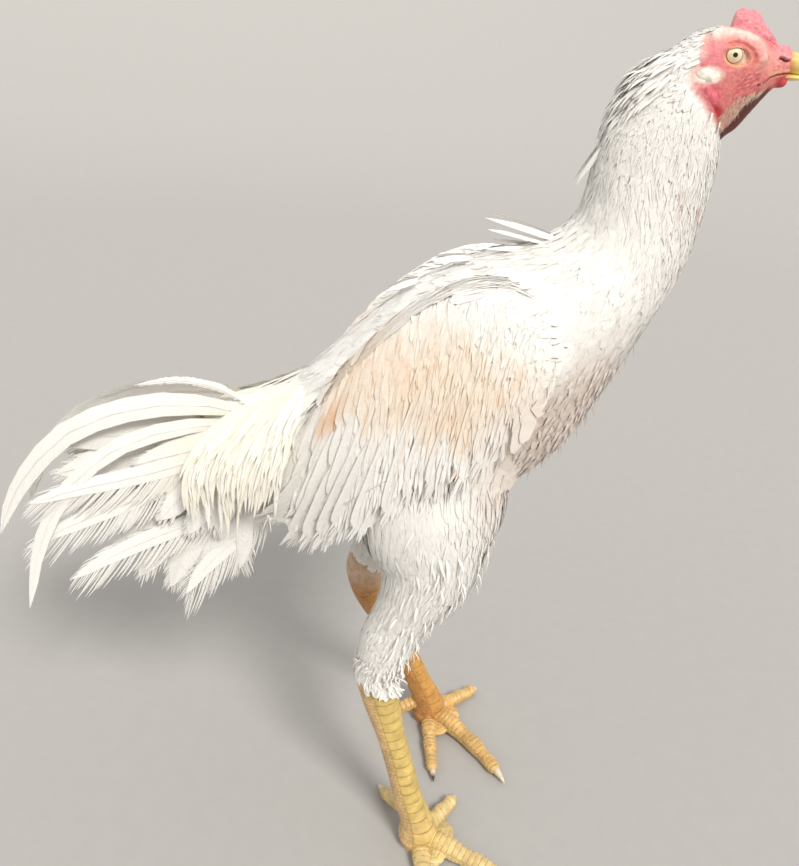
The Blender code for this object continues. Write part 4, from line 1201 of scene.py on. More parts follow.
def laid_paths(ground, roots, lie, length, style, sink, proud):
    """Spines that run over the skin from their roots, straight across its hollows."""
    steps = style.steps
    places, normals, _ = ground.nearest(roots)
    ahead = flat_on(lie, normals)
    path = [places]
    normal_rows = [normals]
    for k in range(1, len(steps)):
        reach = (length * (steps[k] - steps[k - 1]))[:, None]
        guess = places + ahead * reach
        places, normals, _ = ground.nearest(guess + normals * 0.001)
        normals = unit(normals + normal_rows[-1])
        ahead = flat_on(ahead, normals)
        path.append(places)
        normal_rows.append(normals)
    path = np.stack(path, axis=1)
    normals = np.stack(normal_rows, axis=1)
    straight = path[:, :1] + (path[:, -1:] - path[:, :1]) * steps[None, :, None]
    above = np.clip(np.sum((straight - path) * normals, axis=-1), 0, BRIDGE)
    lift = above - sink[:, None] + (sink + proud)[:, None] * risen(steps)[None, :]
    return path + normals * lift[..., None], normals


def body_measure(places, values):
    """A size read along the body at one place or many."""
    return lambda place: np.interp(place, places, values)


FEATHER_PLACES = (4.2, 5.2, 6.2, 7.5, 9.0, 10.5, 12.0, 14.0, 16.0, 18.0, 20.0, 22.0)
GAP_ALONG = (0.0017, 0.0020, 0.0026, 0.0034, 0.0040, 0.0046, 0.0056, 0.0064, 0.0068, 0.0066,
             0.0062, 0.0060)
FEATHER_LONG = (0.0050, 0.0080, 0.0125, 0.0200, 0.0260, 0.0310, 0.0350, 0.0390, 0.0420, 0.0470,
                0.0520, 0.0500)
FEATHER_HALF = (0.0012, 0.0016, 0.0021, 0.0029, 0.0036, 0.0044, 0.0056, 0.0066, 0.0070, 0.0064,
                0.0056, 0.0052)
gap_along = body_measure(FEATHER_PLACES, GAP_ALONG)
feather_long = body_measure(FEATHER_PLACES, FEATHER_LONG)
feather_half = body_measure(FEATHER_PLACES, FEATHER_HALF)
coat_depth = body_measure(COAT_PLACES, COAT_DEPTHS)


def under_coat(place, turn):
    """Points on the body's skin, where the feathers are rooted."""
    return body_surface(place, turn, -coat_depth(place))


def tailward(place, turn):
    """The direction towards the tail along the body."""
    return unit(body_surface(place + SHORT_STEP, turn) - body_surface(place, turn))


def body_bake_spots(place, turn):
    """Where feathers of the body lie on the bake map."""
    turn = np.mod(turn, 2 * math.pi)
    return np.stack([0.02 + 0.96 * place / BODY_END, 0.02 + 0.96 * turn / (2 * math.pi)], axis=1)


def under_share(turn):
    """0 on the back, 1 on the belly side."""
    return (1 - np.cos(turn)) / 2


def along_tints(paths, chance, spread=0.05):
    """Plumage colours along each spine, each feather a little lighter or darker."""
    count, rows = paths.shape[:2]
    tints = plumage_colours(paths.reshape(-1, 3)).reshape(count, rows, 3)
    return tints * chance.uniform(1 - spread, 1 + spread * 0.6, (count, 1, 1))


def body_feathers(coat, ground, first, last, low, high, style, chance, thin=1.0, short=1.0,
                  wide=1.0, proud=1.0, stray=4.0, wisps=0.5, down=0.0):
    """Feathers over one patch of the body, from the head end towards the tail."""
    spots = staggered(
        first, last, low, high,
        lambda place: gap_along(place) * thin,
        lambda place, turn: gap_along(place) * 0.92 * thin,
        under_coat, chance)
    place, turn = spots[:, 0], spots[:, 1]
    roots = under_coat(place, turn)
    _, normals, distance = ground.nearest(roots)
    bare = face_mask(roots, 0.0060)
    keep = (distance < NEAR_SKIN) & (bare < chance.uniform(0.05, 0.95, len(place)))
    place, turn, roots, normals = place[keep], turn[keep], roots[keep], normals[keep]
    ahead = under_coat(place + SHORT_STEP, turn) - roots
    swing = np.radians(chance.normal(0, stray, len(place)))[:, None]
    lie = flat_on(unit(ahead) * (1 - down) - UP * down, normals)
    lie = lie * np.cos(swing) + np.cross(normals, lie) * np.sin(swing)
    under = under_share(turn)
    length = feather_long(place) * short * chance.uniform(0.85, 1.15, len(place))
    length = length * (1 - 0.35 * under * step_up(12, 14, place))
    half = feather_half(place) * wide * chance.uniform(0.88, 1.12, len(place))
    depth = coat_depth(place)
    sink = 0.0006 + depth * 0.25
    tip = (0.0006 + depth * 0.70) * proud * chance.uniform(0.97, 1.03, len(place))
    paths, rows = laid_paths(ground, roots, lie, length, style, sink, tip)
    coat.add(paths, rows, half, style, body_bake_spots(place, turn),
             along_tints(paths, chance), chance)
    count = int(len(place) * wisps)
    pick = chance.integers(0, len(place), count)
    swing = np.radians(chance.normal(0, 14, count))[:, None]
    lie = lie[pick] * np.cos(swing) + np.cross(normals[pick], lie[pick]) * np.sin(swing)
    spread = chance.normal(0, 0.003, (count, 3))
    length = length[pick] * chance.uniform(0.5, 0.9, count)
    tip = depth[pick] * 0.72 + chance.uniform(0.0003, 0.0011, count)
    sink = -depth[pick] * 0.60
    paths, rows = laid_paths(ground, roots[pick] + spread, lie, length, WISP, sink, tip)
    coat.add(paths, rows, chance.uniform(0.0004, 0.0009, count), WISP,
             body_bake_spots(place[pick], turn[pick]), along_tints(paths, chance), chance, 0.0)


FRINGE_COUNT = 380
FRINGE_TINT = (0.86, 0.66, 0.50)


def jaw_fringe(coat, ground, chance):
    """Pale hair feathers that hang from the jaw over the throat's dark red skin and painted shade."""
    for sign in (1, -1):
        count = FRINGE_COUNT
        t = chance.uniform(0, len(FRINGE_TOP) - 1, count)
        f = (chance.uniform(0.0, 1.0, count) ** 0.8 * 1.45 - 0.05)[:, None]
        spot = curve_rows(FRINGE_TOP, t) * (1 - f) + curve_rows(FRINGE_LOW, t) * f
        roots = np.stack([spot[:, 0], np.full(count, sign * 0.022), spot[:, 1]], axis=1)
        roots, normals, _ = ground.nearest(roots)
        lean = np.radians(chance.normal(-22, 16, count))
        lie = np.stack([np.sin(lean), chance.normal(0, 0.1, count), -np.cos(lean)], axis=1)
        length = chance.uniform(0.0030, 0.0072, count)
        paths, rows = laid_paths(ground, roots, flat_on(lie, normals), length, WISP,
                                 np.full(count, 0.0001), chance.uniform(0.0003, 0.0012, count))
        tints = np.array(FRINGE_TINT) * chance.uniform(0.85, 1.1, (count, 1))
        bake = np.stack([0.02 + 0.1 * t / 6, 0.5 + sign * (0.05 + 0.05 * f[:, 0])], axis=1)
        coat.add(paths, rows, chance.uniform(0.00010, 0.00020, count), WISP, bake, tints, chance, 0.2)


# Loose feathers that stand off the cape and the nape: root (x, z), heading in degrees
# above straight back, length and half width.
LOOSE = [
    ((0.116, 0.512), 17, 0.066, 0.0030), ((0.114, 0.509), 11, 0.060, 0.0028),
    ((0.111, 0.506), 5, 0.056, 0.0030), ((0.107, 0.503), 0, 0.048, 0.0030),
    ((0.126, 0.582), -60, 0.028, 0.0018), ((0.125, 0.577), -56, 0.021, 0.0020),
    ((0.124, 0.560), -82, 0.022, 0.0018),
    ((0.046, 0.496), -6, 0.026, 0.0030), ((0.010, 0.476), -20, 0.024, 0.0030),
]
KEEL_BRISTLES = 260
RUFF_COUNT = 780
RUFF_PLACES = (5.4, 6.0, 6.6, 7.2, 8.2)
RUFF_HEIGHTS = (0.003, 0.010, 0.0135, 0.008, 0.003)


def loose_feathers(coat, chance):
    """The few feathers that stand off the outline, one on each side of the middle."""
    for (x, z), angle, length, half in LOOSE:
        for y in (-0.006, 0.004):
            turn = math.radians(angle + chance.uniform(-3, 3))
            lie = np.array([-math.cos(turn), y * 8, math.sin(turn)])
            steps = HACKLE.steps[:, None]
            path = np.array([x, y, z]) + lie * (length * steps) - UP * (0.08 * length * steps ** 2)
            flat = [0.8 * math.sin(turn), math.copysign(0.6, y), 0.8 * math.cos(turn)]
            rows = np.tile(flat, (len(steps), 1))
            coat.add(path[None], rows[None], np.array([half]), HACKLE, np.array([[0.5, 0.5]]),
                     np.array([WHITE]), chance)


def nape_ruff(coat, ground, chance):
    """Fuller hackles that stand off the nape in layers."""
    count = RUFF_COUNT
    place = chance.uniform(RUFF_PLACES[0], RUFF_PLACES[-1], count)
    turn = chance.normal(0, 0.42, count)
    roots, normals, _ = ground.nearest(under_coat(place, turn))
    fall = flat_on(tailward(place, turn) + chance.normal(0, 0.10, (count, 3)), normals)
    full = np.interp(place, RUFF_PLACES, RUFF_HEIGHTS) * np.cos(np.clip(turn, -1.4, 1.4)) ** 2
    paths, rows = laid_paths(ground, roots, fall, chance.uniform(0.018, 0.028, count), HACKLE,
                             np.full(count, 0.0015), full * chance.uniform(0.15, 1.0, count))
    coat.add(paths, rows, chance.uniform(0.0010, 0.0021, count), HACKLE, body_bake_spots(place, turn),
             along_tints(paths, chance), chance)


def keel_bristles(coat, ground, chance):
    """Short sparse bristles along the keel."""
    count = KEEL_BRISTLES
    place = chance.uniform(12.2, 17.0, count)
    turn = math.pi + chance.normal(0, 0.22, count)
    roots, normals, _ = ground.nearest(under_coat(place, turn))
    ahead = tailward(place, turn)
    lie = unit(ahead + normals * chance.uniform(0.3, 1.0, (count, 1)))
    length = chance.uniform(0.006, 0.014, count)[:, None, None]
    paths = (roots + normals * 0.003)[:, None] + lie[:, None] * length * WISP.steps[None, :, None]
    rows = np.repeat(np.cross(ahead, LEFT)[:, None], len(WISP.steps), axis=1)
    # Bristles in the same beige, partly painted shade.
    tints = np.array(SHADED_BEIGE) * chance.uniform(0.8, 1.2, (count, 1))
    coat.add(paths, rows, chance.uniform(0.0004, 0.0008, count), WISP, body_bake_spots(place, turn),
             tints, chance)


def make_body_coats(ground, material):
    """The coats of head, neck, back and breast."""
    chance = np.random.default_rng(SEED)
    full = 2 * math.pi
    head = Coat("coat_head", material)
    body_feathers(head, ground, 2.6, 7.0, 0, full, SMALL, chance, wisps=0.25)
    jaw_fringe(head, ground, chance)
    nape_ruff(head, ground, chance)
    head.build()
    neck = Coat("coat_neck", material)
    body_feathers(neck, ground, 7.0, 12.0, 0, full, HACKLE, chance, wisps=1.2)
    neck.build()
    back = Coat("coat_back", material)
    body_feathers(back, ground, 11.6, 22.6, -1.9, 1.9, ROUND, chance, stray=6.0, wisps=1.3)
    for low, high in ((0.14, 0.80), (-0.80, -0.14)):
        body_feathers(back, ground, 12.0, 18.8, low, high, ROUND, chance, thin=1.15, short=1.15,
                      wide=1.1, proud=1.08, stray=14.0, wisps=1.2, down=0.45)
    for low, high in ((0.60, 2.1), (-2.1, -0.60)):
        body_feathers(back, ground, 11.4, 13.0, low, high, ROUND, chance, thin=1.2, proud=1.04,
                      stray=9.0, wisps=1.0, down=0.15)
    loose_feathers(back, chance)
    back.build()
    breast = Coat("coat_breast", material)
    body_feathers(breast, ground, 11.6, 22.6, 1.9, full - 1.9, ROUND, chance, stray=6.0, wisps=1.2)
    for low, high in ((1.9, 2.8), (full - 2.8, full - 1.9)):
        body_feathers(breast, ground, 12.6, 16.8, low, high, TUFT, chance, thin=1.2, short=0.6,
                      wide=0.45, proud=1.25, stray=12.0, wisps=1.5)
    keel_bristles(breast, ground, chance)
    breast.build()


THIGH_END = {"right": 8.9, "left": 6.5}
THIGH_WISPS = {"right": 1.25, "left": 1.2}
THIGH_PLACES = (0.0, 6.5, 8.0, 9.5)
THIGH_BASE = (-0.0052, -0.0050, 0.0004, 0.0004)
THIGH_TOP = (-0.0004, 0.0006, 0.0034, 0.0030)


def thigh_spines(side, place, turn, length, low, high, style, spread=0.0):
    """Spines of feathers down the thigh, from one height over the leg to another."""
    step = leg_surface(side, place + 0.1, turn) - leg_surface(side, place, turn)
    per_place = np.maximum(np.linalg.norm(step, axis=1) / 0.1, 0.014)
    steps = style.steps[None, :]
    places = place[:, None] + (length / per_place)[:, None] * steps
    turns = turn[:, None] + spread * steps
    lift = low[:, None] + (high - low)[:, None] * risen(steps)
    flat = [values.ravel() for values in np.broadcast_arrays(places, turns, lift)]
    points = leg_surface(side, *flat)
    outer = leg_surface(side, flat[0], flat[1], flat[2] + 0.004)
    return points.reshape(places.shape + (3,)), unit(outer - points).reshape(places.shape + (3,))


def make_thigh_coat(ground, side, material):
    """Soft feathers down one thigh, with loose tufts over them."""
    chance = np.random.default_rng(SEED + 1)
    coat = Coat("coat_thigh_" + side, material)
    last = THIGH_END[side]
    spots = staggered(0.6, last, 0, 2 * math.pi,
                      lambda place: np.interp(place, [0, 7, 9], [0.0058, 0.0036, 0.0026]),
                      lambda place, turn: np.interp(place, [0, 7, 9], [0.0052, 0.0032, 0.0024]),
                      lambda place, turn: leg_surface(side, place, turn, -THIGH_COAT), chance)
    place, turn = spots[:, 0], spots[:, 1]
    _, _, distance = ground.nearest(leg_surface(side, place, turn, -THIGH_COAT))
    cuff = last - 1.2 * (0.5 - 0.5 * np.cos(turn)) * (side == "right")
    keep = ((distance < 0.0030) | (place > 6.8)) & (place < cuff)
    place, turn = place[keep], turn[keep]
    count = len(place)
    length = np.interp(place, [0, 4, 7, 9], [0.034, 0.024, 0.014, 0.008])
    half = np.interp(place, [0, 4, 7, 9], [0.0048, 0.0038, 0.0027, 0.0020])
    low = np.interp(place, THIGH_PLACES, THIGH_BASE)
    high = np.interp(place, THIGH_PLACES, THIGH_TOP) * chance.uniform(0.9, 1.1, count)
    paths, rows = thigh_spines(side, place, turn + chance.normal(0, 0.03, count),
                               length * chance.uniform(0.8, 1.15, count), low, high, FLUFF)
    bake = np.stack([0.02 + 0.96 * turn / (2 * math.pi), 0.02 + 0.09 * place], axis=1)
    coat.add(paths, rows, half * chance.uniform(0.85, 1.15, count), FLUFF, bake,
             along_tints(paths, chance, 0.02), chance)
    pick = chance.integers(0, count, int(count * THIGH_WISPS[side]))
    fore = 0.5 + 0.5 * np.cos(turn[pick])
    tall = chance.uniform(0.0001, 0.0007, len(pick)) + 0.008 * chance.random(len(pick)) ** 4 * fore
    tall = tall * step_up(1.0, 2.5, place[pick])
    paths, rows = thigh_spines(side, place[pick] + chance.uniform(-0.2, 0.2, len(pick)),
                               turn[pick] + chance.normal(0, 0.15, len(pick)),
                               length[pick] * chance.uniform(0.4, 0.7, len(pick)),
                               high[pick] - 0.0012, high[pick] + tall, TUFT,
                               chance.normal(0, 0.08, (len(pick), 1)))
    coat.add(paths, rows, chance.uniform(0.0005, 0.0011, len(pick)), TUFT, bake[pick],
             along_tints(paths, chance, 0.02), chance, 0.0)
    coat.build()


# Wings

# Rows of large wing feathers from the lowest layer up: first and last root, steps to
# the tip at both ends of the row, half width, how far the tip stands proud, number.
WING_VANES = [
    ((5.0, 0.50), (4.2, 0.84), (3.0, 0.06), (3.0, 0.06), 0.0105, -0.0055, 7),
    ((0.8, 0.52), (6.8, 0.50), (0.80, 0.46), (1.30, 0.46), 0.0120, -0.0022, 13),
    ((0.5, 0.36), (6.6, 0.36), (0.65, 0.40), (1.10, 0.38), 0.0108, -0.0014, 15),
]
WING_TIERS = [
    ((0.3, 0.22), (6.6, 0.24), (0.50, 0.34), (1.00, 0.32), 0.0100, -0.0008, 19),
    ((0.2, 0.10), (6.4, 0.12), (0.45, 0.30), (0.90, 0.28), 0.0096, -0.0003, 21),
]
WING_COVERS = [
    (0.0, 7.0, -0.03, 0.05, 0.0036, 0.70, 0.02, 0.0026),
    (0.0, 7.0, 0.05, 0.16, 0.0060, 0.46, 0.18, 0.0060),
    (0.0, 1.6, 0.16, 0.97, 0.0058, 0.40, 0.16, 0.0056),
]
WING_WISPS = 1900
WING_VANE = Style([0, 0.12, 0.28, 0.45, 0.62, 0.76, 0.87, 0.94, 0.98, 1.0],
                  [0.5, 0.8, 0.95, 1.0, 1.0, 1.0, 0.94, 0.80, 0.55, 0.22], camber=0.01, rough=0.03)
WING_FLIGHT = Style([0, 0.15, 0.32, 0.5, 0.66, 0.79, 0.89, 0.96, 1.0],
                    [0.45, 0.75, 0.92, 1.0, 1.0, 0.95, 0.82, 0.60, 0.24], camber=0.0, tilt=0.02)


def wing_spines(sign, place, share, step_place, step_share, sink, proud, style):
    """Spines of feathers laid along the wing's own surface."""
    steps = style.steps[None, :]
    places = place[:, None] + step_place[:, None] * steps
    shares = share[:, None] + step_share[:, None] * steps
    lift = -sink[:, None] + (sink + proud)[:, None] * risen(steps)
    flat = [values.ravel() for values in (places, shares, lift)]
    points = wing_surface(sign, flat[0], flat[1], flat[2])
    outer = wing_surface(sign, flat[0], flat[1], flat[2] + 0.004)
    shape = places.shape + (3,)
    return points.reshape(shape), unit(outer - points).reshape(shape)


def wing_bake_spots(place, share):
    """Where feathers of a wing lie on the bake map."""
    return np.stack([0.02 + 0.96 * place / 8, 0.02 + 0.96 * share], axis=1)


def make_wing_coat(side, sign, material):
    """One wing: flight feathers and tiers, then small coverts and wisps."""
    chance = np.random.default_rng(SEED + 2)
    coat = Coat("coat_wing_" + side, material)
    for tier in WING_VANES + WING_TIERS:
        first, last, front_step, rear_step, half, proud, count = tier
        spread = np.linspace(0, 1, count)
        place = first[0] + (last[0] - first[0]) * spread + chance.uniform(-0.08, 0.08, count)
        share = first[1] + (last[1] - first[1]) * spread + chance.uniform(-0.02, 0.02, count)
        step_place = front_step[0] + (rear_step[0] - front_step[0]) * spread
        step_share = front_step[1] + (rear_step[1] - front_step[1]) * spread
        paths, rows = wing_spines(sign, place, share, step_place * chance.uniform(0.85, 1.1, count),
                                  step_share * chance.uniform(0.92, 1.04, count),
                                  np.full(count, 0.004), np.full(count, proud), WING_FLIGHT)
        wide = half * chance.uniform(0.9, 1.1, count)
        spots = wing_bake_spots(place, share)
        if tier in WING_TIERS:
            coat.add(paths, rows, wide, WING_FLIGHT, spots, along_tints(paths, chance), chance)
            continue
        for k in range(count):
            vaned_feather(coat, paths[k], rows[k].mean(axis=0) + [0.05, 0, 0], wide[k], chance,
                          spots[k], barbs=26, closed=0.90, torn=0.12, bow=0.015, style=WING_VANE)
    for first, last, low, high, gap, step_place, step_share, half in WING_COVERS:
        spots = staggered(first, last, low, high, lambda place: gap,
                          lambda place, share: gap * 0.9,
                          lambda place, share: wing_surface(sign, place, share), chance)
        place, share = spots[:, 0], spots[:, 1]
        count = len(place)
        length = chance.uniform(0.85, 1.15, count)
        paths, rows = wing_spines(sign, place, share, step_place * length, step_share * length,
                                  np.full(count, 0.0022), chance.uniform(0.0002, 0.0006, count), ROUND)
        coat.add(paths, rows, half * chance.uniform(0.85, 1.15, count), ROUND,
                 wing_bake_spots(place, share), along_tints(paths, chance), chance)
    count = WING_WISPS
    place, share = chance.uniform(0.0, 7.2, count), chance.uniform(0.02, 0.80, count)
    length = chance.uniform(0.6, 1.3, count)
    paths, rows = wing_spines(sign, place, share, chance.normal(0.22, 0.08, count) * length,
                              0.13 * length, np.full(count, 0.0010),
                              chance.uniform(-0.0002, 0.0012, count), TUFT)
    coat.add(paths, rows, chance.uniform(0.0010, 0.0020, count), TUFT,
             wing_bake_spots(place, share), along_tints(paths, chance), chance, 0.0)
    coat.build()


# Tail

TAIL_ROOT = (-0.112, 0.012, 0.342)
RECTRICES = [
    (8, 0.150, 0.014), (18, 0.156, 0.018), (28, 0.154, 0.022), (38, 0.152, 0.026),
    (48, 0.150, 0.030), (58, 0.148, 0.034), (68, 0.140, 0.037), (79, 0.126, 0.039),
    (92, 0.104, 0.040),
]
TAIL_COVERTS = [(4, 0.070, 0.022), (18, 0.084, 0.030), (33, 0.088, 0.036), (48, 0.088, 0.041),
                (64, 0.082, 0.044), (80, 0.072, 0.045)]
# Outer feathers by their spines (x, z): two sickles, then four whose shafts show.
SICKLES = [
    [(-0.115, 0.362), (-0.150, 0.366), (-0.199, 0.358), (-0.250, 0.332), (-0.288, 0.284),
     (-0.3045, 0.240)],
    [(-0.118, 0.352), (-0.160, 0.348), (-0.205, 0.331), (-0.240, 0.298), (-0.262, 0.250),
     (-0.270, 0.195)],
]
SHAFTED = [
    [(-0.120, 0.338), (-0.173, 0.316), (-0.236, 0.296), (-0.268, 0.284)],
    [(-0.125, 0.325), (-0.188, 0.291), (-0.244, 0.262), (-0.272, 0.244)],
    [(-0.100, 0.306), (-0.123, 0.287), (-0.184, 0.254), (-0.212, 0.238), (-0.238, 0.219)],
    [(-0.084, 0.302), (-0.094, 0.286), (-0.118, 0.258), (-0.138, 0.234), (-0.149, 0.215)],
]
STRAY = [(-0.110, 0.366), (-0.135, 0.380), (-0.165, 0.384), (-0.195, 0.378)]
SHAFTED_SPREAD = (0.030, 0.047)
RECTRIX_HALF = 0.0165
COVERT_HALF = 0.0125
SICKLE_HALF = (0.0100, 0.0072)
SICKLE_OUT = (0.026, 0.056)
SICKLE_ROOT_OUT = 0.016
STRAY_HALF = 0.0042
STRAY_OUT = (0.010, 0.020)
# Points along the spine of a large feather, and the height and half width of its shaft.
SPINE_POINTS = 60
SHAFT_LIFT = 0.0009
SHAFT_HALF = 0.0010
RECTRIX_STEP = 0.0014
COVERT_OUT = 0.014
TAIL_DROOP = 0.10
BARB = Style([0, 0.3, 0.6, 0.85, 1.0], [0.8, 1.0, 1.0, 0.75, 0.15], columns=3, camber=0.1,
             thick=0.00022)
SHAFT_TINT = (0.90, 0.88, 0.82)
SHAFT = Style([0, 0.1, 0.25, 0.4, 0.55, 0.7, 0.82, 0.92, 1.0],
              [1.0, 1.0, 0.9, 0.8, 0.68, 0.55, 0.42, 0.28, 0.08], columns=3, camber=0.5, thick=0.0005)
VANE = Style([0, 0.06, 0.14, 0.24, 0.35, 0.46, 0.57, 0.67, 0.76, 0.84, 0.91, 0.96, 1.0],
             [0.30, 0.62, 0.86, 0.98, 1.0, 1.0, 0.98, 0.94, 0.86, 0.72, 0.52, 0.30, 0.05],
             columns=7, camber=0.14, rough=0.05, fray=0.1)
SADDLE = Style([0, 0.2, 0.4, 0.6, 0.78, 0.92, 1.0],
               [0.5, 0.85, 1.0, 0.92, 0.66, 0.30, 0.04], columns=3, camber=0.05, fray=0.1)
SADDLE_TINTS = ((0.92, 0.895, 0.84), (0.91, 0.85, 0.70))


def even_path(points, count):
    """A smooth path through a few points, read at even steps."""
    points = np.asarray(points, float)
    fine = curve_rows(points, np.linspace(0, len(points) - 1, 200))
    reach = np.concatenate([[0], np.cumsum(np.linalg.norm(np.diff(fine, axis=0), axis=1))])
    wanted = np.linspace(0, reach[-1], count)
    return np.stack([np.interp(wanted, reach, fine[:, k]) for k in range(points.shape[1])], axis=1)


def vaned_feather(coat, spine, face, half, chance, bake_spot, barbs, closed, torn, hang=0.0,
                  bow=0.10, style=VANE):
    """A large feather: a vane with its shaft, and slanting barbs that fray its edges."""
    path = even_path(spine, SPINE_POINTS)
    length = np.linalg.norm(np.diff(path, axis=0), axis=1).sum()
    along = unit(np.gradient(path, axis=0))
    normal = flat_on(np.tile(np.asarray(face, float), (SPINE_POINTS, 1)), along)
    across = np.cross(normal, along)
    shade = chance.uniform(0.96, 1.02)

    def read(values, t):
        last = SPINE_POINTS - 1
        index = np.clip(t * last, 0, last - 0.01)
        low = index.astype(int)
        f = (index - low)[:, None]
        return values[low] * (1 - f) + values[low + 1] * f

    steps = style.steps
    tints = plumage_colours(read(path, steps)) * shade
    coat.add(read(path, steps)[None], unit(read(normal, steps))[None], np.array([half * closed]),
             style, bake_spot[None], tints[None], chance)
    shaft = read(path + normal * SHAFT_LIFT, SHAFT.steps)
    coat.add(shaft[None], unit(read(normal, SHAFT.steps))[None], np.array([SHAFT_HALF]), SHAFT,
             bake_spot[None], np.array([SHAFT_TINT]), chance, 0.0)
    for side in (-1, 1):
        t = np.linspace(0.06, 0.98, barbs) + chance.uniform(-0.006, 0.006, barbs)
        root, up = read(path, t), unit(read(normal, t))
        ahead, out = unit(read(along, t)), unit(read(across, t))
        slant = np.radians(np.interp(t, [0.1, 0.6, 1.0], [50, 38, 14]) + chance.normal(0, 2.5, barbs))
        shape = np.interp(t, style.steps, style.widths) * 0.9 + 0.1
        reach = half * shape / np.sin(np.maximum(slant, 0.55)) * chance.uniform(0.90, 1.04, barbs)
        reach = reach * np.where(chance.random(barbs) < torn, chance.uniform(0.8, 1.18, barbs), 1.0)
        low_side = np.sum(out * side * -UP, axis=1) > 0
        reach = reach * np.where(low_side, 1 + hang, 1.0)
        lengths = BARB.steps[None, :, None]
        turn = slant[:, None, None] * (1 - 0.35 * lengths)
        lean = np.cos(turn) * ahead[:, None] + np.sin(turn) * side * out[:, None]
        drop = -(0.006 * bow + bow * reach[:, None, None] * lengths ** 2) * up[:, None]
        gravity = -UP * ((0.12 * torn + 0.4 * hang) * reach)[:, None, None] * lengths ** 2
        paths = root[:, None] + lean * (reach[:, None, None] * lengths) + drop + gravity
        rows = np.repeat(up[:, None], len(BARB.steps), axis=1)
        pitch = length * 0.92 / barbs * np.sin(slant)
        loose = chance.random(barbs) < torn * (0.5 + t)
        wide = pitch * np.where(loose, 0.34, 0.62)
        spots = bake_spot + np.stack([0.02 * t, np.full(barbs, 0.004 * side)], axis=1)
        tints = plumage_colours(root) * (shade * chance.uniform(0.97, 1.02, (barbs, 1)))
        coat.add(paths, rows, wide, BARB, spots, tints, chance, 0.0)


def side_spine(points, sign, spread):
    """A spine given from the side, moved outwards more and more to its tip."""
    shares = np.linspace(0, 1, len(points))
    return [(x, sign * (spread[0] + (spread[1] - spread[0]) * t), z)
            for t, (x, z) in zip(shares, points)]


def make_tail_coat(material):
    """The tail: its main feathers, shafted ones, coverts, sickles and one stray feather."""
    chance = np.random.default_rng(SEED + 3)
    coat = Coat("coat_tail", material)
    number = 0

    def add(spine, face, half, **settings):
        nonlocal number
        spot = np.array([0.04 + 0.02 * number, 0.3])
        vaned_feather(coat, spine, face, half, chance, spot, **settings)
        number += 1

    for sign in SIDES.values():
        for k, (angle, length, out) in enumerate(RECTRICES):
            spine = tail_spine(sign, angle, length, out, TAIL_ROOT[1] + RECTRIX_STEP * k)
            add(spine, (-0.2, sign, 0.25), RECTRIX_HALF * 1.1, barbs=42, closed=0.74, torn=0.5)
        for points in SHAFTED:
            add(side_spine(points, sign, SHAFTED_SPREAD), (-0.15, sign, 0.25), RECTRIX_HALF,
                barbs=52, closed=0.42, torn=0.8, hang=0.35)
        for angle, length, out in TAIL_COVERTS:
            spine = tail_spine(sign, angle, length, out, TAIL_ROOT[1] + COVERT_OUT)
            add(spine, (-0.1, sign, 0.3), COVERT_HALF, barbs=26, closed=0.88, torn=0.15)
        for points, half, out in zip(SICKLES, SICKLE_HALF, SICKLE_OUT):
            add(side_spine(points, sign, (SICKLE_ROOT_OUT, out)), (0, sign, 0.45), half,
                barbs=60, closed=0.94, torn=0.10)
    add(side_spine(STRAY, -1, STRAY_OUT), (0, -1, 0.6), STRAY_HALF, barbs=40, closed=0.5, torn=0.6)
    coat.build()


def saddle_tints(count, chance):
    """A tint for each feather between pale and cream."""
    pale, cream = (np.array(tint) for tint in SADDLE_TINTS)
    return pale + (cream - pale) * chance.random((count, 1))


def make_saddle(ground, material):
    """Long narrow cream feathers that flow from the rump over the root of the tail."""
    chance = np.random.default_rng(SEED + 4)
    coat = Coat("coat_saddle", material)
    spots = staggered(17.0, 22.6, -1.35, 1.35, lambda place: 0.0070, lambda place, turn: 0.0058,
                      under_coat, chance)
    place, turn = spots[:, 0], spots[:, 1]
    roots = under_coat(place, turn)
    _, normals, distance = ground.nearest(roots)
    keep = distance < NEAR_SKIN
    place, turn, roots, normals = place[keep], turn[keep], roots[keep], normals[keep]
    count = len(place)
    ahead = body_surface(place + SHORT_STEP, turn, -coat_depth(place)) - roots
    side = np.abs(np.sin(turn))[:, None]
    lie = unit(flat_on(ahead, normals) - UP * (0.20 + 0.75 * side) + chance.normal(0, 0.06, (count, 3)))
    length = chance.uniform(0.050, 0.080, count) * (1 + 0.55 * side[:, 0])
    steps = SADDLE.steps[None, :, None]
    reach = length[:, None, None] * steps
    lift = 0.0015 + 0.0055 * risen(steps)
    paths = roots[:, None] + lie[:, None] * reach + normals[:, None] * lift
    paths = paths - UP * (0.14 * length[:, None, None] * steps ** 2)
    paths = paths + LEFT * (np.sign(roots[:, 1:2]) * 0.008)[:, None] * steps
    rows = np.repeat(unit(normals + 0.2 * UP)[:, None], len(SADDLE.steps), axis=1)
    tints = saddle_tints(count, chance)
    coat.add(paths, rows, chance.uniform(0.0028, 0.0042, count), SADDLE, body_bake_spots(place, turn),
             tints, chance)
    for sign in (1, -1):
        long_hackles(coat, sign, chance)
    coat.build()


# Long hackles of the rump: the front and rear borders of the fan as (x, y, z).
HACKLE_FRONT = [(-0.058, 0.027, 0.396), (-0.068, 0.046, 0.370), (-0.076, 0.060, 0.336),
                (-0.081, 0.061, 0.298)]
HACKLE_REAR = [(-0.104, 0.016, 0.372), (-0.132, 0.030, 0.354), (-0.148, 0.050, 0.322),
               (-0.142, 0.053, 0.280)]
HACKLE_LAYERS = ((0.46, 40), (0.36, 40), (0.26, 40), (0.16, 38), (0.06, 36), (-0.02, 34))


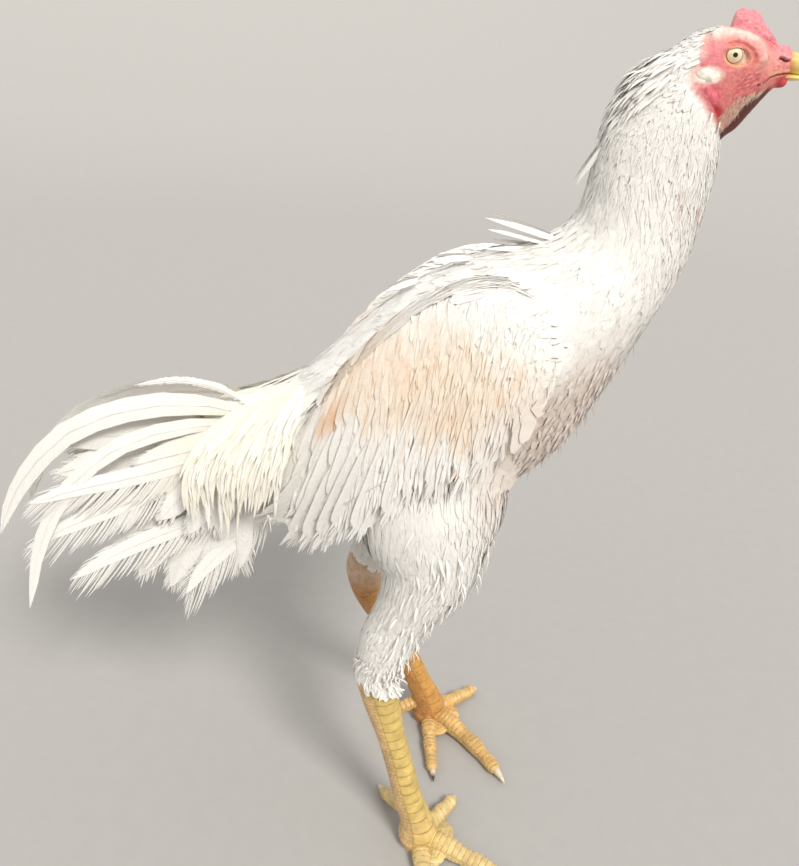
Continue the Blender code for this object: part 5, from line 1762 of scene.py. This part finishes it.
def long_hackles(coat, sign, chance):
    """Long narrow feathers in layers that hang from the rump over the root of the tail."""
    front, rear = even_path(HACKLE_FRONT, 40), even_path(HACKLE_REAR, 40)
    for layer, (start, count) in enumerate(HACKLE_LAYERS):
        across = (np.arange(count) + chance.uniform(-0.35, 0.35, count)) / (count - 1)
        across = np.clip(across, 0, 1)[:, None]
        begin = np.maximum(start + chance.uniform(-0.09, 0.09, count), 0)
        reach = chance.uniform(0.34, 0.56, count) * (0.86 + 0.22 * np.sin(math.pi * across[:, 0]))
        along = np.clip(begin[:, None] + reach[:, None] * SADDLE.steps[None], 0, 1.08) * 39
        low = np.minimum(along.astype(int), 38)
        f = (along - low)[..., None]
        paths = (front[low] * (1 - f) + front[low + 1] * f) * (1 - across[..., None])
        paths = paths + (rear[low] * (1 - f) + rear[low + 1] * f) * across[..., None]
        drift = chance.normal(0, 0.0040, (count, 1)) * SADDLE.steps[None] ** 1.5
        paths[..., 0] += drift
        paths[..., 1] += 0.0007 * layer - 0.0065 + 0.0075 * risen(SADDLE.steps)[None]
        paths = paths * [1, sign, 1]
        rows = np.tile(unit(np.array([-0.05, sign, 0.35])), (count, len(SADDLE.steps), 1))
        rows = rows + chance.normal(0, 0.12, (count, 1, 3))
        tints = saddle_tints(count, chance)
        spots = np.stack([0.5 + sign * 0.1 * across[:, 0], 0.8 + 0.1 * begin], axis=1)
        coat.add(paths, rows, chance.uniform(0.0010, 0.0030, count), SADDLE, spots, tints, chance)


def tail_spine(sign, angle, length, out, root_out):
    """The centre line of a tail feather, with a slight droop."""
    turn = math.radians(angle)
    ahead = np.array([-math.cos(turn), 0, -math.sin(turn)])
    droop = np.array([-math.sin(turn), 0, math.cos(turn)])
    spine = []
    for t in np.linspace(0, 1, 6):
        point = np.array([TAIL_ROOT[0], 0, TAIL_ROOT[2]]) + ahead * (length * t)
        point = point - droop * (TAIL_DROOP * length * (t * t - t))
        y = root_out + (out - root_out) * math.sin(t * math.pi / 2)
        spine.append(point + LEFT * (sign * y))
    return np.array(spine)


# Legs


def toe_rows(side, name, count=44):
    """Rows along one toe: centre (x, y, z), heading, half height and half width."""
    heading, bend, length, high, wide, _ = TOES[side][name]
    hind = name == "hind"
    centre = np.array(LEG_ROWS[side][-1][:3])
    rows = []
    for k in range(count):
        t = k / (count - 1)
        turn = math.radians(heading + bend * (t - 0.5))
        if k:
            centre = centre + np.array([math.cos(turn), math.sin(turn), 0]) * (length / (count - 1))
        shrink = 1 - (1 - TOE_TAPER) * t
        pad = 1 + 0.07 * math.cos(2 * math.pi * t * (2 if hind else 3))
        half_high = high * shrink * pad
        height = half_high - TOE_SINK
        if hind:
            height += (HIND_TOE_HEIGHT - half_high) * (1 - t) ** 1.3
        rows.append((centre[0], centre[1], height, turn, half_high, wide * shrink * pad))
    return np.array(rows)


def toe_tube(rows):
    """One toe as a closed tube with a blunt end under the claw."""
    turns = ring_turns(TOE_SIDES)
    rings = []
    for x, y, z, turn, high, wide in rows[::2] * [1, 1, 1, 1, TOE_SLIM, TOE_SLIM]:
        across = np.array([-math.sin(turn), math.cos(turn), 0])
        rings.append([np.array([x, y, z]) + UP * (high * math.cos(t)) + across * (wide * math.sin(t))
                      for t in turns])
    last = rows[-1]
    ahead = np.array([math.cos(last[3]), math.sin(last[3]), 0]) * last[4] * 0.5
    rings.append([np.array(last[:3]) + (p - np.array(last[:3])) * 0.72 + ahead
                  for p in np.array(rings[-1])])
    return tube(rings)


def leg_guides(side):
    """Fine centre lines of shank and toes, for setting plates and scales on them."""
    guides = []
    places = np.linspace(5.0, 15.2, 140)
    centre = curve_rows(LEG_ROWS[side], places)
    ahead = unit(np.gradient(centre[:, :3], axis=0))
    fore = unit(np.array([1.0, 0, 0]) - ahead * ahead[:, :1])
    guides.append((centre[:, :3], ahead, fore, (centre[:, 3] + centre[:, 4]) / 2))
    for name in TOES[side]:
        rows = toe_rows(side, name)
        ahead = np.stack([np.cos(rows[:, 3]), np.sin(rows[:, 3]), np.zeros(len(rows))], axis=1)
        up = np.tile(UP, (len(rows), 1))
        guides.append((rows[:, :3], ahead, up, (rows[:, 4] + rows[:, 5]) / 2))
    return guides


def along_guides(points, guides):
    """For every point its nearest guide, the distance along it, its turn and radius."""
    best = np.full(len(points), 1e9)
    found = np.zeros((len(points), 4))
    for number, (centre, ahead, front, radius) in enumerate(guides):
        reach = np.concatenate([[0], np.cumsum(np.linalg.norm(np.diff(centre, axis=0), axis=1))])
        side = np.cross(ahead, front)
        for start in range(0, len(points), 8000):
            part = points[start:start + 8000]
            gap = np.linalg.norm(part[:, None] - centre[None], axis=2) / radius[None]
            index = gap.argmin(axis=1)
            score = gap[np.arange(len(part)), index]
            offset = part - centre[index]
            s = reach[index] + np.sum(offset * ahead[index], axis=1)
            turn = np.arctan2(np.sum(offset * side[index], axis=1),
                              np.sum(offset * front[index], axis=1))
            rows = np.stack([np.full(len(part), number), s, turn, radius[index]], axis=1)
            better = score < best[start:start + 8000]
            best[start:start + 8000][better] = score[better]
            found[start:start + 8000][better] = rows[better]
    return found[:, 0].astype(int), found[:, 1], found[:, 2], found[:, 3]


PLATE_TURN = {"right": 0.45, "left": 0.0}
PLATE_PITCH = {"shank": 0.0092, "toe": 0.0046}
PLATE_HALF_TURN = {"shank": 1.35, "toe": 1.30}
NET_PITCH = 0.0034


def scale_pattern(s, turn, radius, shank):
    """Height and groove of the plates in front and the net scales elsewhere."""
    pitch = np.where(shank, PLATE_PITCH["shank"], PLATE_PITCH["toe"])
    edge = np.where(shank, PLATE_HALF_TURN["shank"], PLATE_HALF_TURN["toe"])
    bend = -np.cos(turn * 0.9) * 0.42
    phase = s / pitch + bend
    f = phase - np.floor(phase)
    plate = np.clip(f, 0, 1) ** 0.5 * (1 - step_up(0.90, 1.0, f))
    groove_plate = 1 - step_up(0.02, 0.12, f) * (1 - step_up(0.92, 1.0, f))
    a = s / NET_PITCH
    b = turn * radius / NET_PITCH
    best = np.full(len(s), 9.0)
    for da in (-1, 0, 1):
        for db in (-1, 0, 1):
            row = np.floor(a) + da
            column = np.floor(b) + db
            x = row + 0.5
            y = column + 0.5 + 0.5 * (np.mod(row, 2)) - 0.25
            best = np.minimum(best, (a - x) ** 2 + (b - y) ** 2)
    net = 1 - np.clip(best / 0.40, 0, 1)
    groove_net = 1 - step_up(0.05, 0.5, net)
    front = 1 - step_up(-0.06, 0.06, np.abs(turn) - edge)
    rim = np.exp(-((np.abs(turn) - edge) / 0.05) ** 2)
    height = front * plate * np.where(shank, 0.0009, 0.0012)
    height = height + (1 - front) * net ** 0.6 * 0.00055 - rim * 0.0003
    groove = np.maximum(front * groove_plate + (1 - front) * groove_net, rim * 0.6)
    return height, groove


# Leg colours by side: the yellow and orange are the legs' own, darkened with painted shade for the
# body's shadow, and the far (left) leg is painted darker and more orange as more shade.
SHADED_LEG_TINTS = {"right": (0.60, 0.44, 0.14), "left": (0.56, 0.29, 0.07)}
SHADED_SIDE_TINTS = {"right": (0.66, 0.43, 0.21), "left": (0.50, 0.22, 0.06)}
SHADED_TOE_TINTS = {"right": (0.68, 0.52, 0.24), "left": (0.66, 0.44, 0.17)}
SPECKS = {"right": 0.35, "left": 0.75}
SOLE_TINT = (0.60, 0.42, 0.22)
BARE_TINT = (0.62, 0.47, 0.36)
GROOVE_TINT = (0.28, 0.14, 0.05)
SPECK_TINT = (0.26, 0.12, 0.04)
SOLE_PAD = (0.0165, 0.0165, 0.0085)
SOLE_PAD_HEIGHT = 0.009
WEB_HEIGHT = 0.0060


def make_leg(side, material):
    """A bare leg with its foot: plates in front, net scales behind, and its colours, darkened with
    painted shade.
    """
    parts = [leg_loft(side, 5.0, 16, 0.15, (-0.0065, 0.0004))]
    parts += [toe_tube(toe_rows(side, name)) for name in TOES[side]]
    x, y, _ = LEG_ROWS[side][-1][:3]
    parts.append(egg((x, y, SOLE_PAD_HEIGHT), SOLE_PAD))
    middle = TOES[side]["middle"][0]
    for name in ("inner", "outer"):
        turn = math.radians((middle + TOES[side][name][0]) / 2)
        web = (x + WEB_REACH * math.cos(turn), y + WEB_REACH * math.sin(turn), WEB_HEIGHT)
        parts.append(egg(web, WEB_HALF))
    leg = fused("leg_skin_" + side, parts, LEG_VOXEL, 4)
    points = read_points(leg.data)
    normals = read_normals(leg.data)
    number, s, turn, radius = along_guides(points, leg_guides(side))
    shank = number == 0
    turn = turn - np.where(shank, PLATE_TURN[side], 0.0)
    height, groove = scale_pattern(s, turn, radius, shank)
    sole = 1 - step_up(0.0015, 0.004, points[:, 2])
    fade = 1 - sole * 0.6
    points = points + normals * (height * fade)[:, None]
    points[:, 2] = np.maximum(points[:, 2], 0.0)
    write_points(leg.data, points + SHIFT)
    colours = np.tile(SHADED_LEG_TINTS[side], (len(points), 1))
    rear = step_up(1.2, 1.7, np.abs(turn)) * shank
    colours = blend_to(colours, rear * 0.8, SHADED_SIDE_TINTS[side])
    colours = blend_to(colours, ~shank * step_up(0.002, 0.03, s) * 0.9, SHADED_TOE_TINTS[side])
    ankle = step_up(0.045, 0.030, points[:, 2]) * shank
    colours = blend_to(colours, ankle * 0.3, SHADED_SIDE_TINTS[side])
    colours = colours * (0.86 + 0.26 * smooth_noise(points, 0.012, 7))[:, None]
    bare = step_up(0.150, 0.178, points[:, 2])
    colours = blend_to(colours, bare * 0.8, BARE_TINT)
    groove = groove * (1 - 0.75 * bare)
    colours = blend_to(colours, groove * 0.66, GROOVE_TINT)
    specks = step_up(0.70, 0.84, smooth_noise(points, 0.0020, 9)) * (1 - bare)
    specks = specks * shank * step_up(0.9, 1.3, np.abs(turn)) + specks * groove
    colours = blend_to(colours, np.clip(specks, 0, 1) * SPECKS[side], SPECK_TINT)
    colours = blend_to(colours, sole * 0.5, SOLE_TINT)
    set_tints(leg.data, colours)
    leg.data.materials.append(material)
    nodes = ["shank_" + side, "foot_" + side] + ["toe_" + name + "_" + side for name in TOES[side]]
    finish_piece(leg, nodes)


# Shares of a claw's length where its rings lie, and the one claw that is dark.
CLAW_SHARES = np.linspace(-0.25, 1, 14)
CLAW_SIDES = 16
DARK_CLAW = ("left", "inner")


def claw_tube(side, name):
    """One curved claw that starts inside the end of its toe."""
    row = toe_rows(side, name)[-1]
    length = TOES[side][name][5]
    high, wide = row[4], row[5]
    ahead = np.array([math.cos(row[3]), math.sin(row[3]), 0])
    across = np.array([-math.sin(row[3]), math.cos(row[3]), 0])
    turns = ring_turns(CLAW_SIDES)
    loops = []
    for t in CLAW_SHARES:
        s = max(t, 0.0)
        size = max((1 - s) ** 0.75, 0.04)
        middle = np.array(row[:3]) + ahead * (length * t)
        middle[2] = row[2] + high * (0.25 * s - 0.62 * s * s)
        middle[2] = max(middle[2], high * 0.78 * size + 0.0004)
        loops.append([middle + UP * (high * 0.78 * size * math.cos(a))
                      + across * (wide * 0.66 * size * math.sin(a)) for a in turns])
    return tube(loops)


def make_claws(material):
    """All claws as one piece, with what their look reads at each point."""
    names = [(side, name) for side in SIDES for name in TOES[side]]
    parts = [claw_tube(side, name) for side, name in names]
    points, faces = joined(parts)
    item = mesh_object("claws", points, faces, material)
    tip = np.tile(np.repeat(CLAW_SHARES, CLAW_SIDES), len(names))
    dark = np.repeat([float(pair == DARK_CLAW) for pair in names], len(CLAW_SHARES) * CLAW_SIDES)
    set_attribute(item.data, "tip", "FLOAT", "value", tip)
    set_attribute(item.data, "dark", "FLOAT", "value", dark)
    finish_piece(item, ["claw_" + name + "_" + side for side, name in names])


# Eyes and beak


def make_eye(side, sign, material):
    """An eyeball with its pupil turned a little forwards, under a clear bulge."""
    points, faces = egg((0, 0, 0), (1, 1, 1), rings=40, sides=64)
    spot = points[:, [0, 2, 1]]
    gaze = unit(np.array([-0.05, sign, 0.04]))
    side_way = unit(np.cross(gaze, UP))
    up = np.cross(side_way, gaze)
    local = spot[:, [0]] * side_way + spot[:, [1]] * up + spot[:, [2]] * gaze
    bulge = 0.03 * (1 - step_up(0.1, 0.6, np.hypot(spot[:, 0], spot[:, 1]))) * (spot[:, 2] > 0)
    centre = np.array([EYE_PLACE[0], sign * EYE_PLACE[1], EYE_PLACE[2]])
    item = mesh_object("eye_ball_" + side, local * (EYE_RADIUS * (1 + bulge))[:, None] + centre,
                       faces, material)
    set_attribute(item.data, "spot", "FLOAT_VECTOR", "vector", spot)
    finish_piece(item, ["eye_" + side])


def make_beaks(material):
    """Both halves of the beak, each with a faint keel along its middle."""
    turns = ring_turns(BEAK_SIDES)
    keel = 1 + 0.10 * np.cos(turns) ** 8
    for name, (rows, tip) in BEAKS.items():
        rings = []
        for x, top, low, half in curve_rows(rows, np.linspace(0, len(rows) - 1, 26)):
            y = half * np.sin(turns)
            z = (top + low) / 2 + (top - low) / 2 * np.cos(turns) * keel
            rings.append(np.stack([np.full_like(turns, x), y, z], axis=1))
        middle = np.array(tip)
        rings.append(middle + (rings[-1] - rings[-1].mean(axis=0)) * 0.25)
        points, faces = tube(rings)
        item = mesh_object(name + "_horn", points, faces, material)
        finish_piece(item, [name])


def eye_look():
    """A wet eye: dark pupil, pearly iris with streaks, a dark ring and the white."""
    look = Look("eye", 0.06, Coat_Weight=1.0, Coat_Roughness=0.02)
    spot = look.node("SeparateXYZ", {0: look.attribute("spot", "Vector")})
    x, y = spot.outputs[0], spot.outputs[1]
    distance = look.maths("SQRT", look.maths("ADD", look.maths("MULTIPLY", x, x),
                                             look.maths("MULTIPLY", y, y)))
    angle = look.maths("ARCTAN2", y, x)
    ray = look.node("CombineXYZ", {0: look.maths("MULTIPLY", look.maths("SINE", angle), 6.0),
                                   1: look.maths("MULTIPLY", look.maths("COSINE", angle), 6.0),
                                   2: look.maths("MULTIPLY", distance, 2.0)}).outputs[0]
    streak = look.between(look.noise(2.2, 4.0, ray), 0.35, 0.65)
    pearl = look.mix(streak, (0.84, 0.70, 0.42), (0.74, 0.58, 0.32))
    warm = look.between(distance, 0.22, 0.55)
    pearl = look.mix(warm, pearl, (0.82, 0.70, 0.46))
    ring = look.between(distance, 0.59, 0.63)
    colour = look.mix(ring, pearl, (0.22, 0.09, 0.04))
    white = look.between(distance, 0.65, 0.70)
    colour = look.mix(white, colour, (0.74, 0.50, 0.44))
    pupil = look.between(distance, 0.185, 0.215)
    colour = look.mix(pupil, (0.006, 0.005, 0.005), colour)
    look.set("Base Color", colour)
    return look.material


def horn_look(name, base, tip_colour, grain):
    """Horn with streaks along its length."""
    look = Look(name, 0.32, Coat_Weight=0.15, Coat_Roughness=0.3)
    stretched = look.node("Mapping", {"Vector": look.place(), "Scale": (60.0, 420.0, 420.0)})
    streak = look.noise(1.0, 5.0, stretched.outputs[0])
    colour = look.mix(look.between(streak, 0.35, 0.7), base, tip_colour)
    look.set("Base Color", colour)
    look.roughen(look.noise(grain, 4.0), 0.00012, 0.5)
    return look


def claw_look():
    look = horn_look("claw_horn", (0.62, 0.50, 0.34), (0.72, 0.62, 0.47), 900.0)
    tip = look.attribute("tip", "Fac")
    dark = look.maths("MULTIPLY", look.between(tip, 0.45, 0.75), look.attribute("dark", "Fac"))
    brown = look.mix(look.between(tip, -0.1, 0.35), (0.42, 0.27, 0.15), look.colour())
    look.set("Base Color", look.mix(dark, brown, (0.035, 0.03, 0.03)))
    return look.material


def scale_look():
    """Scaly skin of the legs: its tint, blotches and fine grain."""
    look = Look("scales", 0.42, Coat_Weight=0.12, Coat_Roughness=0.35, Subsurface_Weight=0.08,
                Subsurface_Scale=0.0015)
    blotch = look.between(look.noise(160.0, 5.0), 0.3, 0.7, 0.80, 1.14)
    look.set("Base Color", look.shaded(look.attribute("tint"), blotch))
    height = look.maths("ADD", look.noise(1500.0, 3.0), look.maths("MULTIPLY", look.cells(900.0), 0.6))
    look.roughen(height, 0.00018, 0.6)
    return look.material


def beak_look():
    look = horn_look("beak_horn", (0.84, 0.68, 0.15), (0.88, 0.78, 0.28), 700.0)
    x = look.node("SeparateXYZ", {0: look.place()}).outputs[0]
    base = look.between(x, SHIFT[0] + 0.2400, SHIFT[0] + 0.2480)
    look.set("Base Color", look.mix(base, (0.62, 0.30, 0.10), look.colour()))
    return look.material


def make_skin(material):
    """Head and body skin joined into one piece, with their colours."""
    body = body_skin()
    head = head_skin()
    parts = []
    for item in (body, head):
        parts.append((read_points(item.data), [read_corners(item.data).reshape(-1, 4)]))
        bpy.data.objects.remove(item, do_unlink=True)
    points, faces = joined(parts)
    skin = mesh_object("skin", points, faces, material, moved=False)
    ground = Ground(skin)
    set_tints(skin.data, skin_colours(points))
    write_points(skin.data, points + SHIFT)
    nodes = ["head", "comb", "neck", "torso", "tail"]
    nodes += [part + "_" + side for part in ("wing", "thigh") for side in SIDES]
    finish_piece(skin, nodes)
    return ground


def main():
    make_camera()
    make_stage()
    plumage = feather_look()
    ground = make_skin(skin_look())
    scales = scale_look()
    horn = beak_look()
    eye = eye_look()
    for side, sign in SIDES.items():
        make_eye(side, sign, eye)
        make_leg(side, scales)
        make_wing_coat(side, sign, plumage)
        make_thigh_coat(ground, side, plumage)
    make_claws(claw_look())
    make_beaks(horn)
    make_body_coats(ground, plumage)
    make_tail_coat(plumage)
    make_saddle(ground, plumage)


main()
